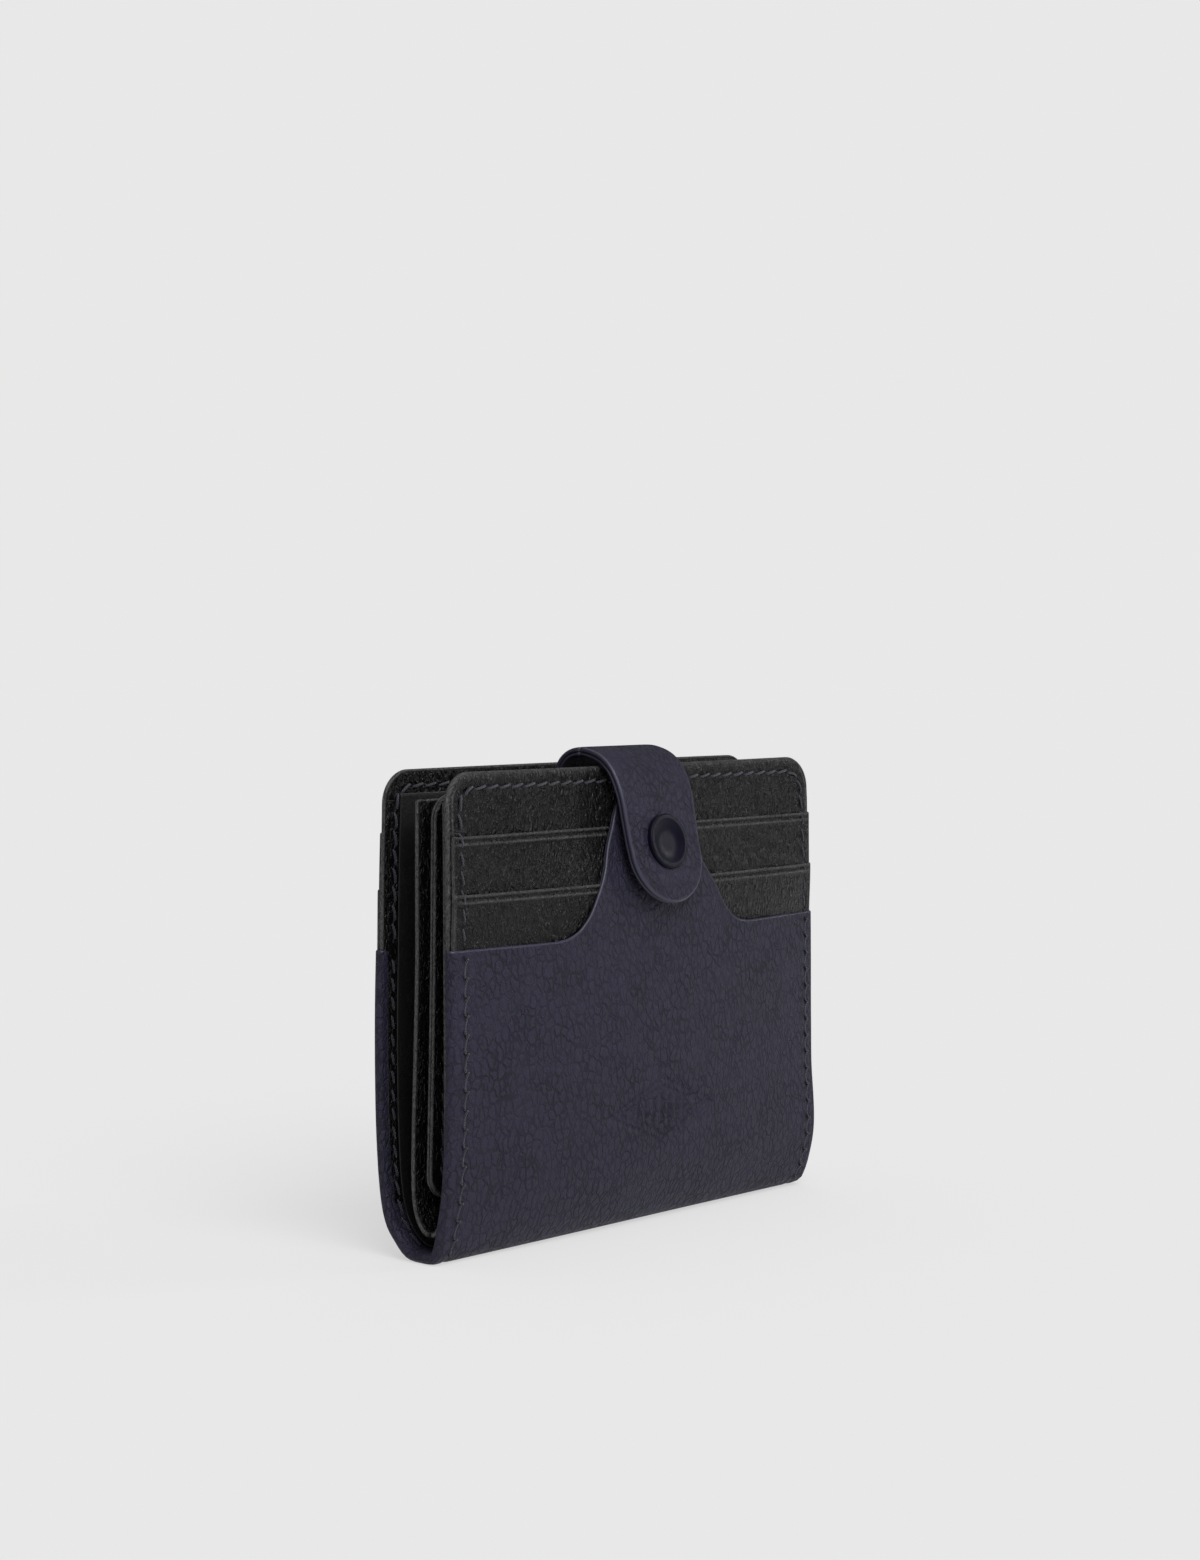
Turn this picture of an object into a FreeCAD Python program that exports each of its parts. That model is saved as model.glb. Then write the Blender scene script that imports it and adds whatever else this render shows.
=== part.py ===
"""Bifold card holder with a snap strap, as a parametric FreeCAD document.

The holder stands on its folded spine. X runs along the spine, +Y points to the back cover and +Z up.
The origin is on the resting face, midway along the spine. Sizes are millimetres and degrees.
"""
import FreeCAD, Part
import math
import os
import re

import Sketcher

V = FreeCAD.Vector

# alias, value, meaning
SIZES = [
    ("cover_half", 50, "half length of the covers along the spine"),
    ("cover_top", 84, "height of both covers"),
    ("cover_low", 9, "where the rigid part of a cover starts, above the fold"),
    ("corner_round", 6, "radius of the covers' upper corners"),
    ("bulge_radius", 500, "radius of the gentle pillow shape of both covers"),
    ("bulge_height", 35, "height at which the covers stand out most"),
    ("front_out", 11.9, "front face of the outer pocket, from the origin"),
    ("back_out", 11.9, "back face of the outer pocket, from the origin"),
    ("lining", 0.3, "thickness of a cover's lining"),
    ("board", 0.4, "thickness of a cover's stiffener"),
    ("skin", 0.4, "thickness of the outer black leather"),
    ("slot_skin", 0.3, "thickness of a card slot's leather"),
    ("pocket_lining", 0.4, "thickness of the outer pocket's lining"),
    ("pocket_skin", 0.7, "thickness of the pebbled outer leather"),
    ("hem", 4, "width of the turned-in hem, which is also the board's inset"),
    ("slot_high", 73, "mouth of the upper card slot"),
    ("slot_low", 63, "mouth of the lower card slot"),
    ("pocket_mouth", 53.5, "mouth of the outer pocket"),
    ("tongue_top", 78, "top of the tongue"),
    ("tongue_half", 9.5, "half width of the tongue at its top"),
    ("tongue_foot", 18, "half width where the tongue's sides would meet the mouth"),
    ("tongue_round", 4, "radius of the tongue's upper corners"),
    ("shoulder_round", 12, "radius between the tongue and the mouth"),
    ("spine_front", 8.3, "front wall of the fold, from the origin"),
    ("spine_back", 8.0, "back wall of the fold, from the origin"),
    ("spine_wall", 8, "height of the fold's walls"),
    ("spine_front_round", 5, "outer radius of the fold at the front"),
    ("spine_back_round", 6.5, "outer radius of the fold at the back"),
    ("leaf_front", 6.2, "front wall of the inner leaf's fold, from the origin"),
    ("leaf_back", 0.4, "back face of the inner leaf, from the origin"),
    ("leaf_bottom", 4.6, "underside of the inner leaf's fold"),
    ("leaf_round", 2.6, "outer radius of the inner leaf's fold"),
    ("leaf_skin", 0.6, "thickness of the inner leaf"),
    ("leaf_gap", 0.3, "air between the front cover and the inner leaf"),
    ("leaf_half", 49, "half length of the inner leaf along the spine"),
    ("leaf_top", 79, "top of the inner leaf"),
    ("inner_slot_high", 68, "mouth of the inner leaf's upper card slot"),
    ("inner_slot_low", 57, "mouth of the inner leaf's lower card slot"),
    ("page_low", 10.5, "lower edge of the page"),
    ("page_high", 80, "upper edge of the page"),
    ("page_half", 48, "half width of the page"),
    ("page_round", 4.5, "radius of the page's corners"),
    ("page_skin", 0.4, "thickness of each of the page's two panels"),
    ("page_back", 1.2, "back face of the page at its foot, from the origin"),
    ("page_lean", 1.2, "how far the page leans forward, in degrees"),
    ("strap_half", 9.7, "half width of the strap and radius of its round end"),
    ("strap_skin", 1.0, "thickness of the strap's outer leather"),
    ("strap_lining", 0.6, "thickness of the strap's lining"),
    ("arch_back_round", 6.3, "outer radius of the strap's arch at the back"),
    ("arch_front_round", 7.5, "outer radius of the strap's arch at the front"),
    ("arch_top", 87.2, "top of the arch"),
    ("arch_back", 1.3, "where the back curve of the arch ends, in front of the origin"),
    ("arch_front", 4.4, "where the front curve of the arch starts, in front of the origin"),
    ("root_lean", 6.5, "lean of the strap's fixed end, in degrees"),
    ("root_length", 28, "length of the strap's straight fixed end"),
    ("tab_lean", 12, "lean of the strap's free end, in degrees"),
    ("tab_length", 22.6, "length of the strap's straight free end"),
    ("flex_back", 2.7, "where the strap bends at the back, from the origin"),
    ("flex_front", 9.0, "where the strap bends at the front, in front of the origin"),
    ("flex_gap", 1.0, "air between two stretches of the strap where it bends"),
    ("snap_down", 11.5, "distance of the snap's axis below the arch, along the strap"),
    ("cap_radius", 5, "radius of the snap's cap"),
    ("cap_rim", 0.9, "height of the cap's rim over the strap"),
    ("cap_dish", 0.4, "height of the cap's dished middle over the strap"),
    ("cap_lip", 0.9, "width of the cap's rim"),
    ("cap_round", 0.35, "radius of the rim's edge"),
    ("dish_round", 6, "radius of the dished middle's edge"),
    ("socket_radius", 4.2, "radius of the snap's socket"),
    ("socket_height", 1.2, "height of the socket under the strap"),
    ("socket_bore", 2.2, "radius of the socket's bore"),
    ("socket_web", 0.3, "thickness of the socket's web"),
    ("stem_radius", 1.2, "radius of the stems through the leather"),
    ("stud_radius", 1.6, "radius of the stud's head"),
    ("stud_height", 0.8, "height of the stud's head over its flange"),
    ("flange_radius", 2.8, "radius of the stud's flange"),
    ("flange_height", 0.25, "thickness of the stud's flange and of the post's disc"),
    ("post_gap", 0.02, "room between the post's flat disc and the curved lining"),
    ("stud_foot", 69.3, "height of the stud's foot on the tongue"),
    ("snap_reach", 8, "how far a stem's hole runs to each side of its foot"),
]

ALIASES = {alias for alias, value, meaning in SIZES}
SHEET = "Sheet"
PRISM_REACH = 60    # how far a cutting prism reaches to each side of the origin
TALL = 200          # edge of a block that is cut back to one stretch of the strap

doc = FreeCAD.newDocument("card_holder")
sheet = doc.addObject("Spreadsheet::Sheet", SHEET)
pieces = []
spheres = {}


# ------------------------------------------------------------------ spreadsheet and bindings

def fill_sheet():
    for row, (alias, value, meaning) in enumerate(SIZES, start=1):
        sheet.set(f"A{row}", meaning)
        sheet.set(f"B{row}", str(value))
        sheet.setAlias(f"B{row}", alias)
    doc.recompute()


def bind(item, **formulas):
    """Bind properties of an object to formulas that use the sheet's aliases."""
    for path, formula in formulas.items():
        item.setExpression(path.replace("__", "."), qualified(formula))


def qualified(formula):
    """The formula with each alias written as a cell of the sheet."""
    return re.sub(r"[a-z_]+", lambda word: f"{SHEET}.{word[0]}" if word[0] in ALIASES else word[0], formula)


def number(formula):
    """What a formula gives with the sheet's present numbers."""
    return float(sheet.evalExpression(qualified(formula)))


def keep(item, label):
    """Give a finished sub-part its name and put it on the list of files to write."""
    item.Label = label
    pieces.append(item)
    return item


# ------------------------------------------------------------------ building blocks

def placement_of_plane(plane):
    """Sketch planes: XZ looks along +Y with X to the right, YZ has Y to the right; both have Z up."""
    if plane == "XZ":
        return FreeCAD.Placement(V(0, 0, 0), FreeCAD.Rotation(V(1, 0, 0), 90))
    return FreeCAD.Placement(V(0, 0, 0), FreeCAD.Rotation(V(0, 1, 0), V(0, 0, 1), V(1, 0, 0), "XYZ"))


def corner_arc(before, corner, after, radius):
    """Where a rounding of this radius leaves the corner's two sides, its centre, and if it turns left."""
    back = (before - corner).normalize()
    ahead = (after - corner).normalize()
    half_angle = back.getAngle(ahead) / 2
    start = corner + back * (radius / math.tan(half_angle))
    end = corner + ahead * (radius / math.tan(half_angle))
    centre = corner + (back + ahead).normalize() * (radius / math.sin(half_angle))
    return start, end, centre, back.cross(ahead).z < 0


def draw_outline(sketch, corners):
    """Draw a closed outline through corners given as (across, up, radius or None) formulas."""
    spots = [V(number(across), number(up), 0) for across, up, radius in corners]
    count = len(corners)
    rounds = []
    for i, (across, up, radius) in enumerate(corners):
        marker = sketch.addGeometry(Part.Point(spots[i]), True)
        for kind, formula, here in (("DistanceX", across, spots[i].x), ("DistanceY", up, spots[i].y)):
            index = sketch.addConstraint(Sketcher.Constraint(kind, -1, 1, marker, 1, here))
            sketch.setExpression(f"Constraints[{index}]", qualified(formula))
        rounding = None
        if radius:
            rounding = corner_arc(spots[i - 1], spots[i], spots[(i + 1) % count], number(radius))
        rounds.append((marker, rounding))
    lines = []
    for i in range(count):
        start = rounds[i][1][1] if rounds[i][1] else spots[i]
        following = rounds[(i + 1) % count][1]
        end = following[0] if following else spots[(i + 1) % count]
        lines.append(sketch.addGeometry(Part.LineSegment(start, end), False))
    for i, (across, up, radius) in enumerate(corners):
        join_corner(sketch, lines[i - 1], lines[i], *rounds[i], radius)


def join_corner(sketch, line_in, line_out, marker, rounding, radius):
    """Tie two sides to their corner, through a tangent arc where the corner is rounded."""
    if rounding is None:
        sketch.addConstraint(Sketcher.Constraint("Coincident", line_in, 2, marker, 1))
        sketch.addConstraint(Sketcher.Constraint("Coincident", line_out, 1, marker, 1))
        return
    start, end, centre, turns_left = rounding
    first = math.atan2(start.y - centre.y, start.x - centre.x)
    last = math.atan2(end.y - centre.y, end.x - centre.x)
    if not turns_left:
        first, last = last, first
    circle = Part.Circle(centre, V(0, 0, 1), number(radius))
    arc = sketch.addGeometry(Part.ArcOfCircle(circle, first, last), False)
    arc_in, arc_out = (1, 2) if turns_left else (2, 1)
    sketch.addConstraint(Sketcher.Constraint("Tangent", line_in, 2, arc, arc_in))
    sketch.addConstraint(Sketcher.Constraint("Tangent", line_out, 1, arc, arc_out))
    sketch.addConstraint(Sketcher.Constraint("PointOnObject", marker, 1, line_in))
    sketch.addConstraint(Sketcher.Constraint("PointOnObject", marker, 1, line_out))
    index = sketch.addConstraint(Sketcher.Constraint("Radius", arc, number(radius)))
    sketch.setExpression(f"Constraints[{index}]", qualified(radius))


def outline(name, plane, corners):
    """A free-standing sketch of a closed outline."""
    sketch = doc.addObject("Sketcher::SketchObject", name)
    sketch.Placement = placement_of_plane(plane)
    draw_outline(sketch, corners)
    return sketch


def prism(sketch, half_length=str(PRISM_REACH)):
    """The outline extruded to both sides of its plane."""
    item = doc.addObject("Part::Extrusion", f"{sketch.Name}_prism")
    item.Base = sketch
    item.DirMode = "Normal"
    item.Solid = True
    item.Symmetric = True
    bind(item, LengthFwd=f"2 * ({half_length})")
    return item


def cut(base, tool, name):
    item = doc.addObject("Part::Cut", name)
    item.Base = base
    item.Tool = tool
    return item


def common(first, second, name):
    item = doc.addObject("Part::MultiCommon", name)
    item.Shapes = [first, second]
    return item


def revolved(label, profile, aim):
    """A body turned about its own Z axis from a profile of (radius, height, rounding) formulas."""
    body = doc.addObject("PartDesign::Body", f"{label}_body")
    sketch = body.newObject("Sketcher::SketchObject", f"{label}_profile")
    planes = {feature.Role: feature for feature in body.Origin.OriginFeatures}
    sketch.AttachmentSupport = (planes["XZ_Plane"], [""])
    sketch.MapMode = "FlatFace"
    draw_outline(sketch, profile)
    turned = body.newObject("PartDesign::Revolution", f"{label}_turned")
    turned.Profile = sketch
    turned.ReferenceAxis = (sketch, ["V_Axis"])
    turned.Angle = 360
    bind(body, **aim)
    body.Placement.Rotation.Axis = V(1, 0, 0)
    return keep(body, label)


# ------------------------------------------------------------------ covers

def bulge_sphere(side, depth):
    """The sphere that bounds a cover's layers at some depth under its outermost face."""
    key = (side, depth)
    if key not in spheres:
        sphere = doc.addObject("Part::Sphere", f"{side}_depth_{len(spheres)}")
        centre = "bulge_radius - front_out" if side == "front" else "back_out - bulge_radius"
        bind(sphere, Radius=f"bulge_radius - ({depth})",
             Placement__Base__y=centre, Placement__Base__z="bulge_height")
        spheres[key] = sphere
    return spheres[key]


def layer(side, name, blank, outer, inner):
    """One layer of a cover: the blank between two depths under the cover's outermost face."""
    trimmed = common(blank, bulge_sphere(side, outer), f"{side}_{name}_trimmed")
    return cut(trimmed, bulge_sphere(side, inner), f"{side}_{name}_layer")


def panel(name, half, low, high, top_radius, bottom_radius=None):
    """A rectangle with rounded upper corners, as a prism along Y."""
    corners = [
        (f"-({half})", low, bottom_radius),
        (half, low, bottom_radius),
        (half, high, top_radius),
        (f"-({half})", high, top_radius),
    ]
    return prism(outline(name, "XZ", corners))


def tongue_panel(name):
    """The front pocket's outline: a straight mouth with a tapered tongue in the middle."""
    corners = [
        ("-cover_half", "cover_low", None),
        ("cover_half", "cover_low", None),
        ("cover_half", "pocket_mouth", None),
        ("tongue_foot", "pocket_mouth", "shoulder_round"),
        ("tongue_half", "tongue_top", "tongue_round"),
        ("-tongue_half", "tongue_top", "tongue_round"),
        ("-tongue_foot", "pocket_mouth", "shoulder_round"),
        ("-cover_half", "pocket_mouth", None),
    ]
    return prism(outline(name, "XZ", corners))


def cover(side, pocket_blank, post_hole=None):
    """A cover from the outside in: outer pocket, two card slots, shell, board and lining."""
    depth_pocket = "pocket_skin"
    depth_pocket_lining = f"{depth_pocket} + pocket_lining"
    depth_slot_lower = f"{depth_pocket_lining} + slot_skin"
    depth_slot_upper = f"{depth_slot_lower} + slot_skin"
    depth_board = f"{depth_slot_upper} + skin"
    depth_shell = f"{depth_board} + board"
    depth_lining = f"{depth_shell} + lining"

    full = panel(f"{side}_full", "cover_half", "cover_low", "cover_top", "corner_round")
    inset = panel(f"{side}_inset", "cover_half - hem", "cover_low", "cover_top - hem", "corner_round - hem / 2")
    upper = panel(f"{side}_upper", "cover_half", "cover_low", "slot_high", None)
    lower = panel(f"{side}_lower", "cover_half", "cover_low", "slot_low", None)

    pocket = layer(side, "pocket", pocket_blank, "0", depth_pocket)
    pocket_lining = layer(side, "pocket_lining", pocket_blank, depth_pocket, depth_pocket_lining)
    if post_hole:
        pocket = cut(pocket, post_hole, f"{side}_pocket_holed")
        pocket_lining = cut(pocket_lining, post_hole, f"{side}_pocket_lining_holed")
    keep(pocket, f"{side}_outer_pocket")
    keep(pocket_lining, f"{side}_pocket_lining")
    keep(layer(side, "slot_lower", lower, depth_pocket_lining, depth_slot_lower), f"{side}_slot_lower")
    keep(layer(side, "slot_upper", upper, depth_slot_lower, depth_slot_upper), f"{side}_slot_upper")
    board = keep(layer(side, "board", inset, depth_board, depth_shell), f"{side}_board")
    shell = layer(side, "shell", full, depth_slot_upper, depth_shell)
    keep(cut(shell, board, f"{side}_shell_hemmed"), f"{side}_shell")
    keep(layer(side, "lining", full, depth_shell, depth_lining), f"{side}_lining")
    return depth_lining


# ------------------------------------------------------------------ spine and inner leaf

def fold_prism(name, front, back, bottom, inset, front_round, back_round, half):
    """A U-shaped fold's filled section, set in from its outer face, as a prism along X."""
    corners = [
        (f"-({front} - ({inset}))", f"{bottom} + {inset}", f"{front_round} - ({inset})"),
        (f"{back} - ({inset})", f"{bottom} + {inset}", f"{back_round} - ({inset})"),
        (f"{back} - ({inset})", "spine_wall", None),
        (f"-({front} - ({inset}))", "spine_wall", None),
    ]
    return prism(outline(name, "YZ", corners), half)


def spine():
    """The bottom fold: pebbled leather outside and lining inside."""
    sizes = ("spine_front", "spine_back", "0")
    rounds = ("spine_front_round", "spine_back_round", "cover_half")
    outer = fold_prism("spine_face", *sizes, "0", *rounds)
    middle = fold_prism("spine_middle", *sizes, "pocket_skin", *rounds)
    inner = fold_prism("spine_inside", *sizes, "pocket_skin + skin", *rounds)
    keep(cut(outer, middle, "spine_skin"), "spine_outer")
    keep(cut(middle, inner, "spine_skin_lining"), "spine_lining")


def inner_leaf(cover_depth):
    """The loose inner leaf: its fold on the spine, and an arm with two card slots on each cover."""
    sizes = ("leaf_front", "leaf_back", "leaf_bottom")
    rounds = ("leaf_round", "leaf_round", "leaf_half")
    outer = fold_prism("leaf_face", *sizes, "0", *rounds)
    inner = fold_prism("leaf_inside", *sizes, "leaf_skin", *rounds)
    keep(cut(outer, inner, "leaf_fold"), "inner_fold")

    full = panel("arm_full", "leaf_half", "cover_low", "leaf_top", "corner_round")
    upper = panel("arm_upper", "leaf_half", "cover_low", "inner_slot_high", None)
    lower = panel("arm_lower", "leaf_half", "cover_low", "inner_slot_low", None)

    depth_face = f"{cover_depth} + leaf_gap"
    depth_arm = f"{depth_face} + leaf_skin"
    depth_upper = f"{depth_arm} + slot_skin"
    depth_lower = f"{depth_upper} + slot_skin"
    keep(layer("front", "arm", full, depth_face, depth_arm), "inner_front_arm")
    keep(layer("front", "arm_upper", upper, depth_arm, depth_upper), "inner_front_slot_upper")
    keep(layer("front", "arm_lower", lower, depth_upper, depth_lower), "inner_front_slot_lower")

    flat_sheet("inner_back_arm", full, "leaf_back - leaf_skin", "leaf_skin")
    flat_sheet("inner_back_slot_upper", upper, "leaf_back - leaf_skin - slot_skin", "slot_skin")
    flat_sheet("inner_back_slot_lower", lower, "leaf_back - leaf_skin - 2 * slot_skin", "slot_skin")


def flat_sheet(label, blank, near, thickness):
    """A flat sheet: the blank between two planes across Y."""
    slab = doc.addObject("Part::Box", f"{label}_slab")
    bind(slab, Length=str(TALL), Width=thickness, Height=str(TALL),
         Placement__Base__x=f"-{TALL} / 2", Placement__Base__y=near)
    return keep(common(blank, slab, f"{label}_sheet"), label)


def page():
    """The page between the two arms: two panels sewn together, leaning a little forward."""
    half = "page_half"
    blank = panel("page_blank", half, "0", "page_high - page_low", "page_round", "page_round")
    for label, near in (("page_front_panel", "-2 * page_skin"), ("page_back_panel", "-page_skin")):
        sheet_piece = flat_sheet(label, blank, near, "page_skin")
        bind(sheet_piece, Placement__Base__y="-page_back", Placement__Base__z="page_low",
             Placement__Rotation__Angle="page_lean")
        sheet_piece.Placement.Rotation.Axis = V(1, 0, 0)


# ------------------------------------------------------------------ strap

def strap_layer(name, outer, inner):
    """The whole strap between two depths under its outer face, as a prism along X."""
    corners = strap_line(outer) + list(reversed(strap_line(inner)))
    return prism(outline(name, "YZ", corners), "strap_half")


def strap_line(depth):
    """Corners of the strap's line at some depth: fixed end, back bend, front bend, free end."""
    back_tan = "tan(45 - root_lean / 2)"
    front_tan = "tan(45 - tab_lean / 2)"
    back_bend = f"(arch_back_round * {back_tan} - arch_back)"
    front_bend = f"(-arch_front_round * {front_tan} - arch_front)"
    root = f"(root_length + arch_back_round * {back_tan})"
    tab = f"(tab_length + arch_front_round * {front_tan})"
    return [
        (f"{back_bend} + {root} * sin(root_lean) - ({depth}) * cos(root_lean)",
         f"arch_top - {root} * cos(root_lean) - ({depth}) * sin(root_lean)", None),
        (f"{back_bend} - ({depth}) * {back_tan}", f"arch_top - ({depth})", f"arch_back_round - ({depth})"),
        (f"{front_bend} + ({depth}) * {front_tan}", f"arch_top - ({depth})", f"arch_front_round - ({depth})"),
        (f"{front_bend} - {tab} * sin(tab_lean) + ({depth}) * cos(tab_lean)",
         f"arch_top - {tab} * cos(tab_lean) - ({depth}) * sin(tab_lean)", None),
    ]


def stretch_block(name, low, high):
    """A tall block that spans the strap between two places along Y."""
    block = doc.addObject("Part::Box", name)
    bind(block, Length=str(TALL), Width=f"({high}) - ({low})", Height=str(TALL),
         Placement__Base__x=f"-{TALL} / 2", Placement__Base__y=low)
    return block


def tab_end():
    """A tilted prism that rounds the strap's free end."""
    corners = [
        ("-strap_half", "-tab_length", "strap_half * 0.999"),
        ("strap_half", "-tab_length", "strap_half * 0.999"),
        ("strap_half", "2 * arch_front_round", None),
        ("-strap_half", "2 * arch_front_round", None),
    ]
    rounded = prism(outline("tab_end", "XZ", corners))
    bind(rounded, Placement__Base__y=tab_start_across(), Placement__Base__z=tab_start_up(),
         Placement__Rotation__Angle="-tab_lean")
    rounded.Placement.Rotation.Axis = V(1, 0, 0)
    return rounded


def tab_start_across():
    return "-arch_front - arch_front_round * cos(tab_lean)"


def tab_start_up():
    return "arch_top - arch_front_round + arch_front_round * sin(tab_lean)"


def strap():
    """The strap in three stretches that meet where it bends, each of outer leather and lining."""
    root = stretch_block("root_block", "flex_back + flex_gap / 2", str(PRISM_REACH))
    bridge = stretch_block("bridge_block", "-flex_front + flex_gap / 2", "flex_back - flex_gap / 2")
    tab = stretch_block("tab_block", f"-{PRISM_REACH}", "-flex_front - flex_gap / 2")
    rounding = tab_end()
    stem_hole = hole("snap_hole", snap_aim("snap_reach"))
    for layer_name, outer, inner in (("outer", "0", "strap_skin"),
                                     ("lining", "strap_skin", "strap_skin + strap_lining")):
        whole = strap_layer(f"strap_{layer_name}_line", outer, inner)
        keep(common(whole, root, f"root_{layer_name}"), f"strap_root_{layer_name}")
        keep(common(whole, bridge, f"bridge_{layer_name}"), f"strap_bridge_{layer_name}")
        square = common(whole, tab, f"tab_{layer_name}_square")
        rounded = common(square, rounding, f"tab_{layer_name}_rounded")
        keep(cut(rounded, stem_hole, f"tab_{layer_name}_holed"), f"strap_tab_{layer_name}")


# ------------------------------------------------------------------ snap

def snap_aim(inward="0"):
    """Bindings that put a piece's Z axis on the snap's axis, pointing out of the strap."""
    return {
        "Placement__Base__y": f"{tab_start_across()} - snap_down * sin(tab_lean) + ({inward}) * cos(tab_lean)",
        "Placement__Base__z": f"{tab_start_up()} - snap_down * cos(tab_lean) - ({inward}) * sin(tab_lean)",
        "Placement__Rotation__Angle": "90 - tab_lean",
    }


def stud_aim(inward="0"):
    """Bindings that put a piece's Z axis square to the tongue, at the stud's foot."""
    rise = "(stud_foot - bulge_height)"
    reach = f"sqrt(bulge_radius ^ 2 - {rise} ^ 2)"
    return {
        "Placement__Base__y": f"bulge_radius - front_out - {reach} * (1 - ({inward}) / bulge_radius)",
        "Placement__Base__z": f"stud_foot - ({inward}) * {rise} / bulge_radius",
        "Placement__Rotation__Angle": f"90 deg - asin({rise} / bulge_radius)",
    }


def hole(name, aim):
    """A stem's hole as a cylinder that starts inward of the leather and runs out through it."""
    cylinder = doc.addObject("Part::Cylinder", name)
    cylinder.Placement.Rotation.Axis = V(1, 0, 0)
    bind(cylinder, Radius="stem_radius", Height="2 * snap_reach", **aim)
    return cylinder


def snap_cap():
    """The painted cap: a dished disc with a raised rim, and a stem through the strap to the socket."""
    profile = [
        ("0", "-(strap_skin + strap_lining + socket_web)", None),
        ("stem_radius", "-(strap_skin + strap_lining + socket_web)", None),
        ("stem_radius", "0", None),
        ("cap_radius", "0", None),
        ("cap_radius", "cap_rim", "cap_round"),
        ("cap_radius - cap_lip", "cap_rim", "cap_round"),
        ("cap_radius / 2", "cap_dish", "dish_round"),
        ("0", "cap_dish", None),
    ]
    revolved("snap_cap", profile, snap_aim())


def snap_socket():
    """The socket under the strap: a web that the cap's stem holds, and a ring that grips the stud."""
    top = "-(strap_skin + strap_lining)"
    profile = [
        ("stem_radius", top, None),
        ("stem_radius", f"{top} - socket_web", None),
        ("socket_bore", f"{top} - socket_web", None),
        ("socket_bore", f"{top} - socket_height", None),
        ("socket_radius - socket_web", f"{top} - socket_height", None),
        ("socket_radius", f"{top} - socket_height / 2", None),
        ("socket_radius", top, None),
    ]
    revolved("snap_socket", profile, snap_aim())


def snap_stud():
    """The stud on the tongue: a flange and a head that the socket grips."""
    profile = [
        ("stem_radius / 2", "0", None),
        ("flange_radius", "0", None),
        ("flange_radius", "flange_height", None),
        ("stud_radius * 0.85", "flange_height", None),
        ("stud_radius", "flange_height + stud_height * 0.6", None),
        ("stud_radius * 0.9", "flange_height + stud_height", None),
        ("stem_radius / 2", "flange_height + stud_height", None),
    ]
    revolved("snap_stud", profile, stud_aim())


def snap_stud_post():
    """The post behind the tongue: a disc, a stem through the leather and a rivet tip in the stud."""
    back = "-(pocket_skin + pocket_lining + post_gap)"
    profile = [
        ("0", f"{back} - flange_height", None),
        ("flange_radius", f"{back} - flange_height", None),
        ("flange_radius", back, None),
        ("stem_radius", back, None),
        ("stem_radius", "0", None),
        ("stem_radius / 2", "0", None),
        ("stem_radius / 2", "flange_height + stud_height", None),
        ("0", "flange_height + stud_height", None),
    ]
    revolved("snap_stud_post", profile, stud_aim())


# ------------------------------------------------------------------ assembly

def check(items):
    """Stop if any object failed, or if a sub-part's shape isn't sound."""
    for item in items:
        if "Invalid" in item.State or "Error" in item.State:
            raise RuntimeError(f"{item.Name} ({item.Label}) failed: {item.State}")
    for piece in pieces:
        if piece.Shape.isNull() or not piece.Shape.isValid() or piece.Shape.Volume <= 0:
            raise RuntimeError(f"{piece.Label} has no sound shape")


def write(folder):
    os.makedirs(folder, exist_ok=True)
    for piece in pieces:
        piece.Shape.exportStep(os.path.join(folder, f"{piece.Label}.step"))
        box = piece.Shape.BoundBox
        print(f"{piece.Label:26s} {len(piece.Shape.Solids)} solid(s) {piece.Shape.Volume:9.1f} mm3  "
              f"x {box.XMin:6.1f} {box.XMax:6.1f}  y {box.YMin:6.1f} {box.YMax:6.1f}  "
              f"z {box.ZMin:6.1f} {box.ZMax:6.1f}")


fill_sheet()
spine()
depth_of_front = cover("front", tongue_panel("tongue"), hole("stud_hole", stud_aim("snap_reach")))
cover("back", panel("back_pocket", "cover_half", "cover_low", "pocket_mouth", None))
inner_leaf(depth_of_front)
page()
strap()
snap_cap()
snap_socket()
snap_stud()
snap_stud_post()
doc.recompute()
check(doc.Objects)
write("parts")
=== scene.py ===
import math

import bpy
import numpy as np
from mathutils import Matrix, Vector


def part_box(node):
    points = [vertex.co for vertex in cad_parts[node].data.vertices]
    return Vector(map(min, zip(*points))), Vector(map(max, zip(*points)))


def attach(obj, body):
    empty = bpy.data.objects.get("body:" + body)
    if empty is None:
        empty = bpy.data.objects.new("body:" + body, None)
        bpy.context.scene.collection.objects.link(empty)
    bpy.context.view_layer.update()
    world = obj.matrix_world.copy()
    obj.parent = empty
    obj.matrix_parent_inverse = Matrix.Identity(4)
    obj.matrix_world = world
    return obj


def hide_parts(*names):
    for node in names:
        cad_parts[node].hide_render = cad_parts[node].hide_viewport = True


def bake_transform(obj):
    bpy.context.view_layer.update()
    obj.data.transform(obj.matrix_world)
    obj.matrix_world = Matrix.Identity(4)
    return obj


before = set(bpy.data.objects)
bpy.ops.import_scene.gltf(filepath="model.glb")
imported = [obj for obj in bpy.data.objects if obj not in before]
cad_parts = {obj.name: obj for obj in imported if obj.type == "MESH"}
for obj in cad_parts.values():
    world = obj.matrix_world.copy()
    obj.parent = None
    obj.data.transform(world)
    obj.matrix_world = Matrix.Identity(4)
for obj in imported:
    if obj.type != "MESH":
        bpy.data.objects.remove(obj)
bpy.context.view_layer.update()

MM = 0.001


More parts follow.
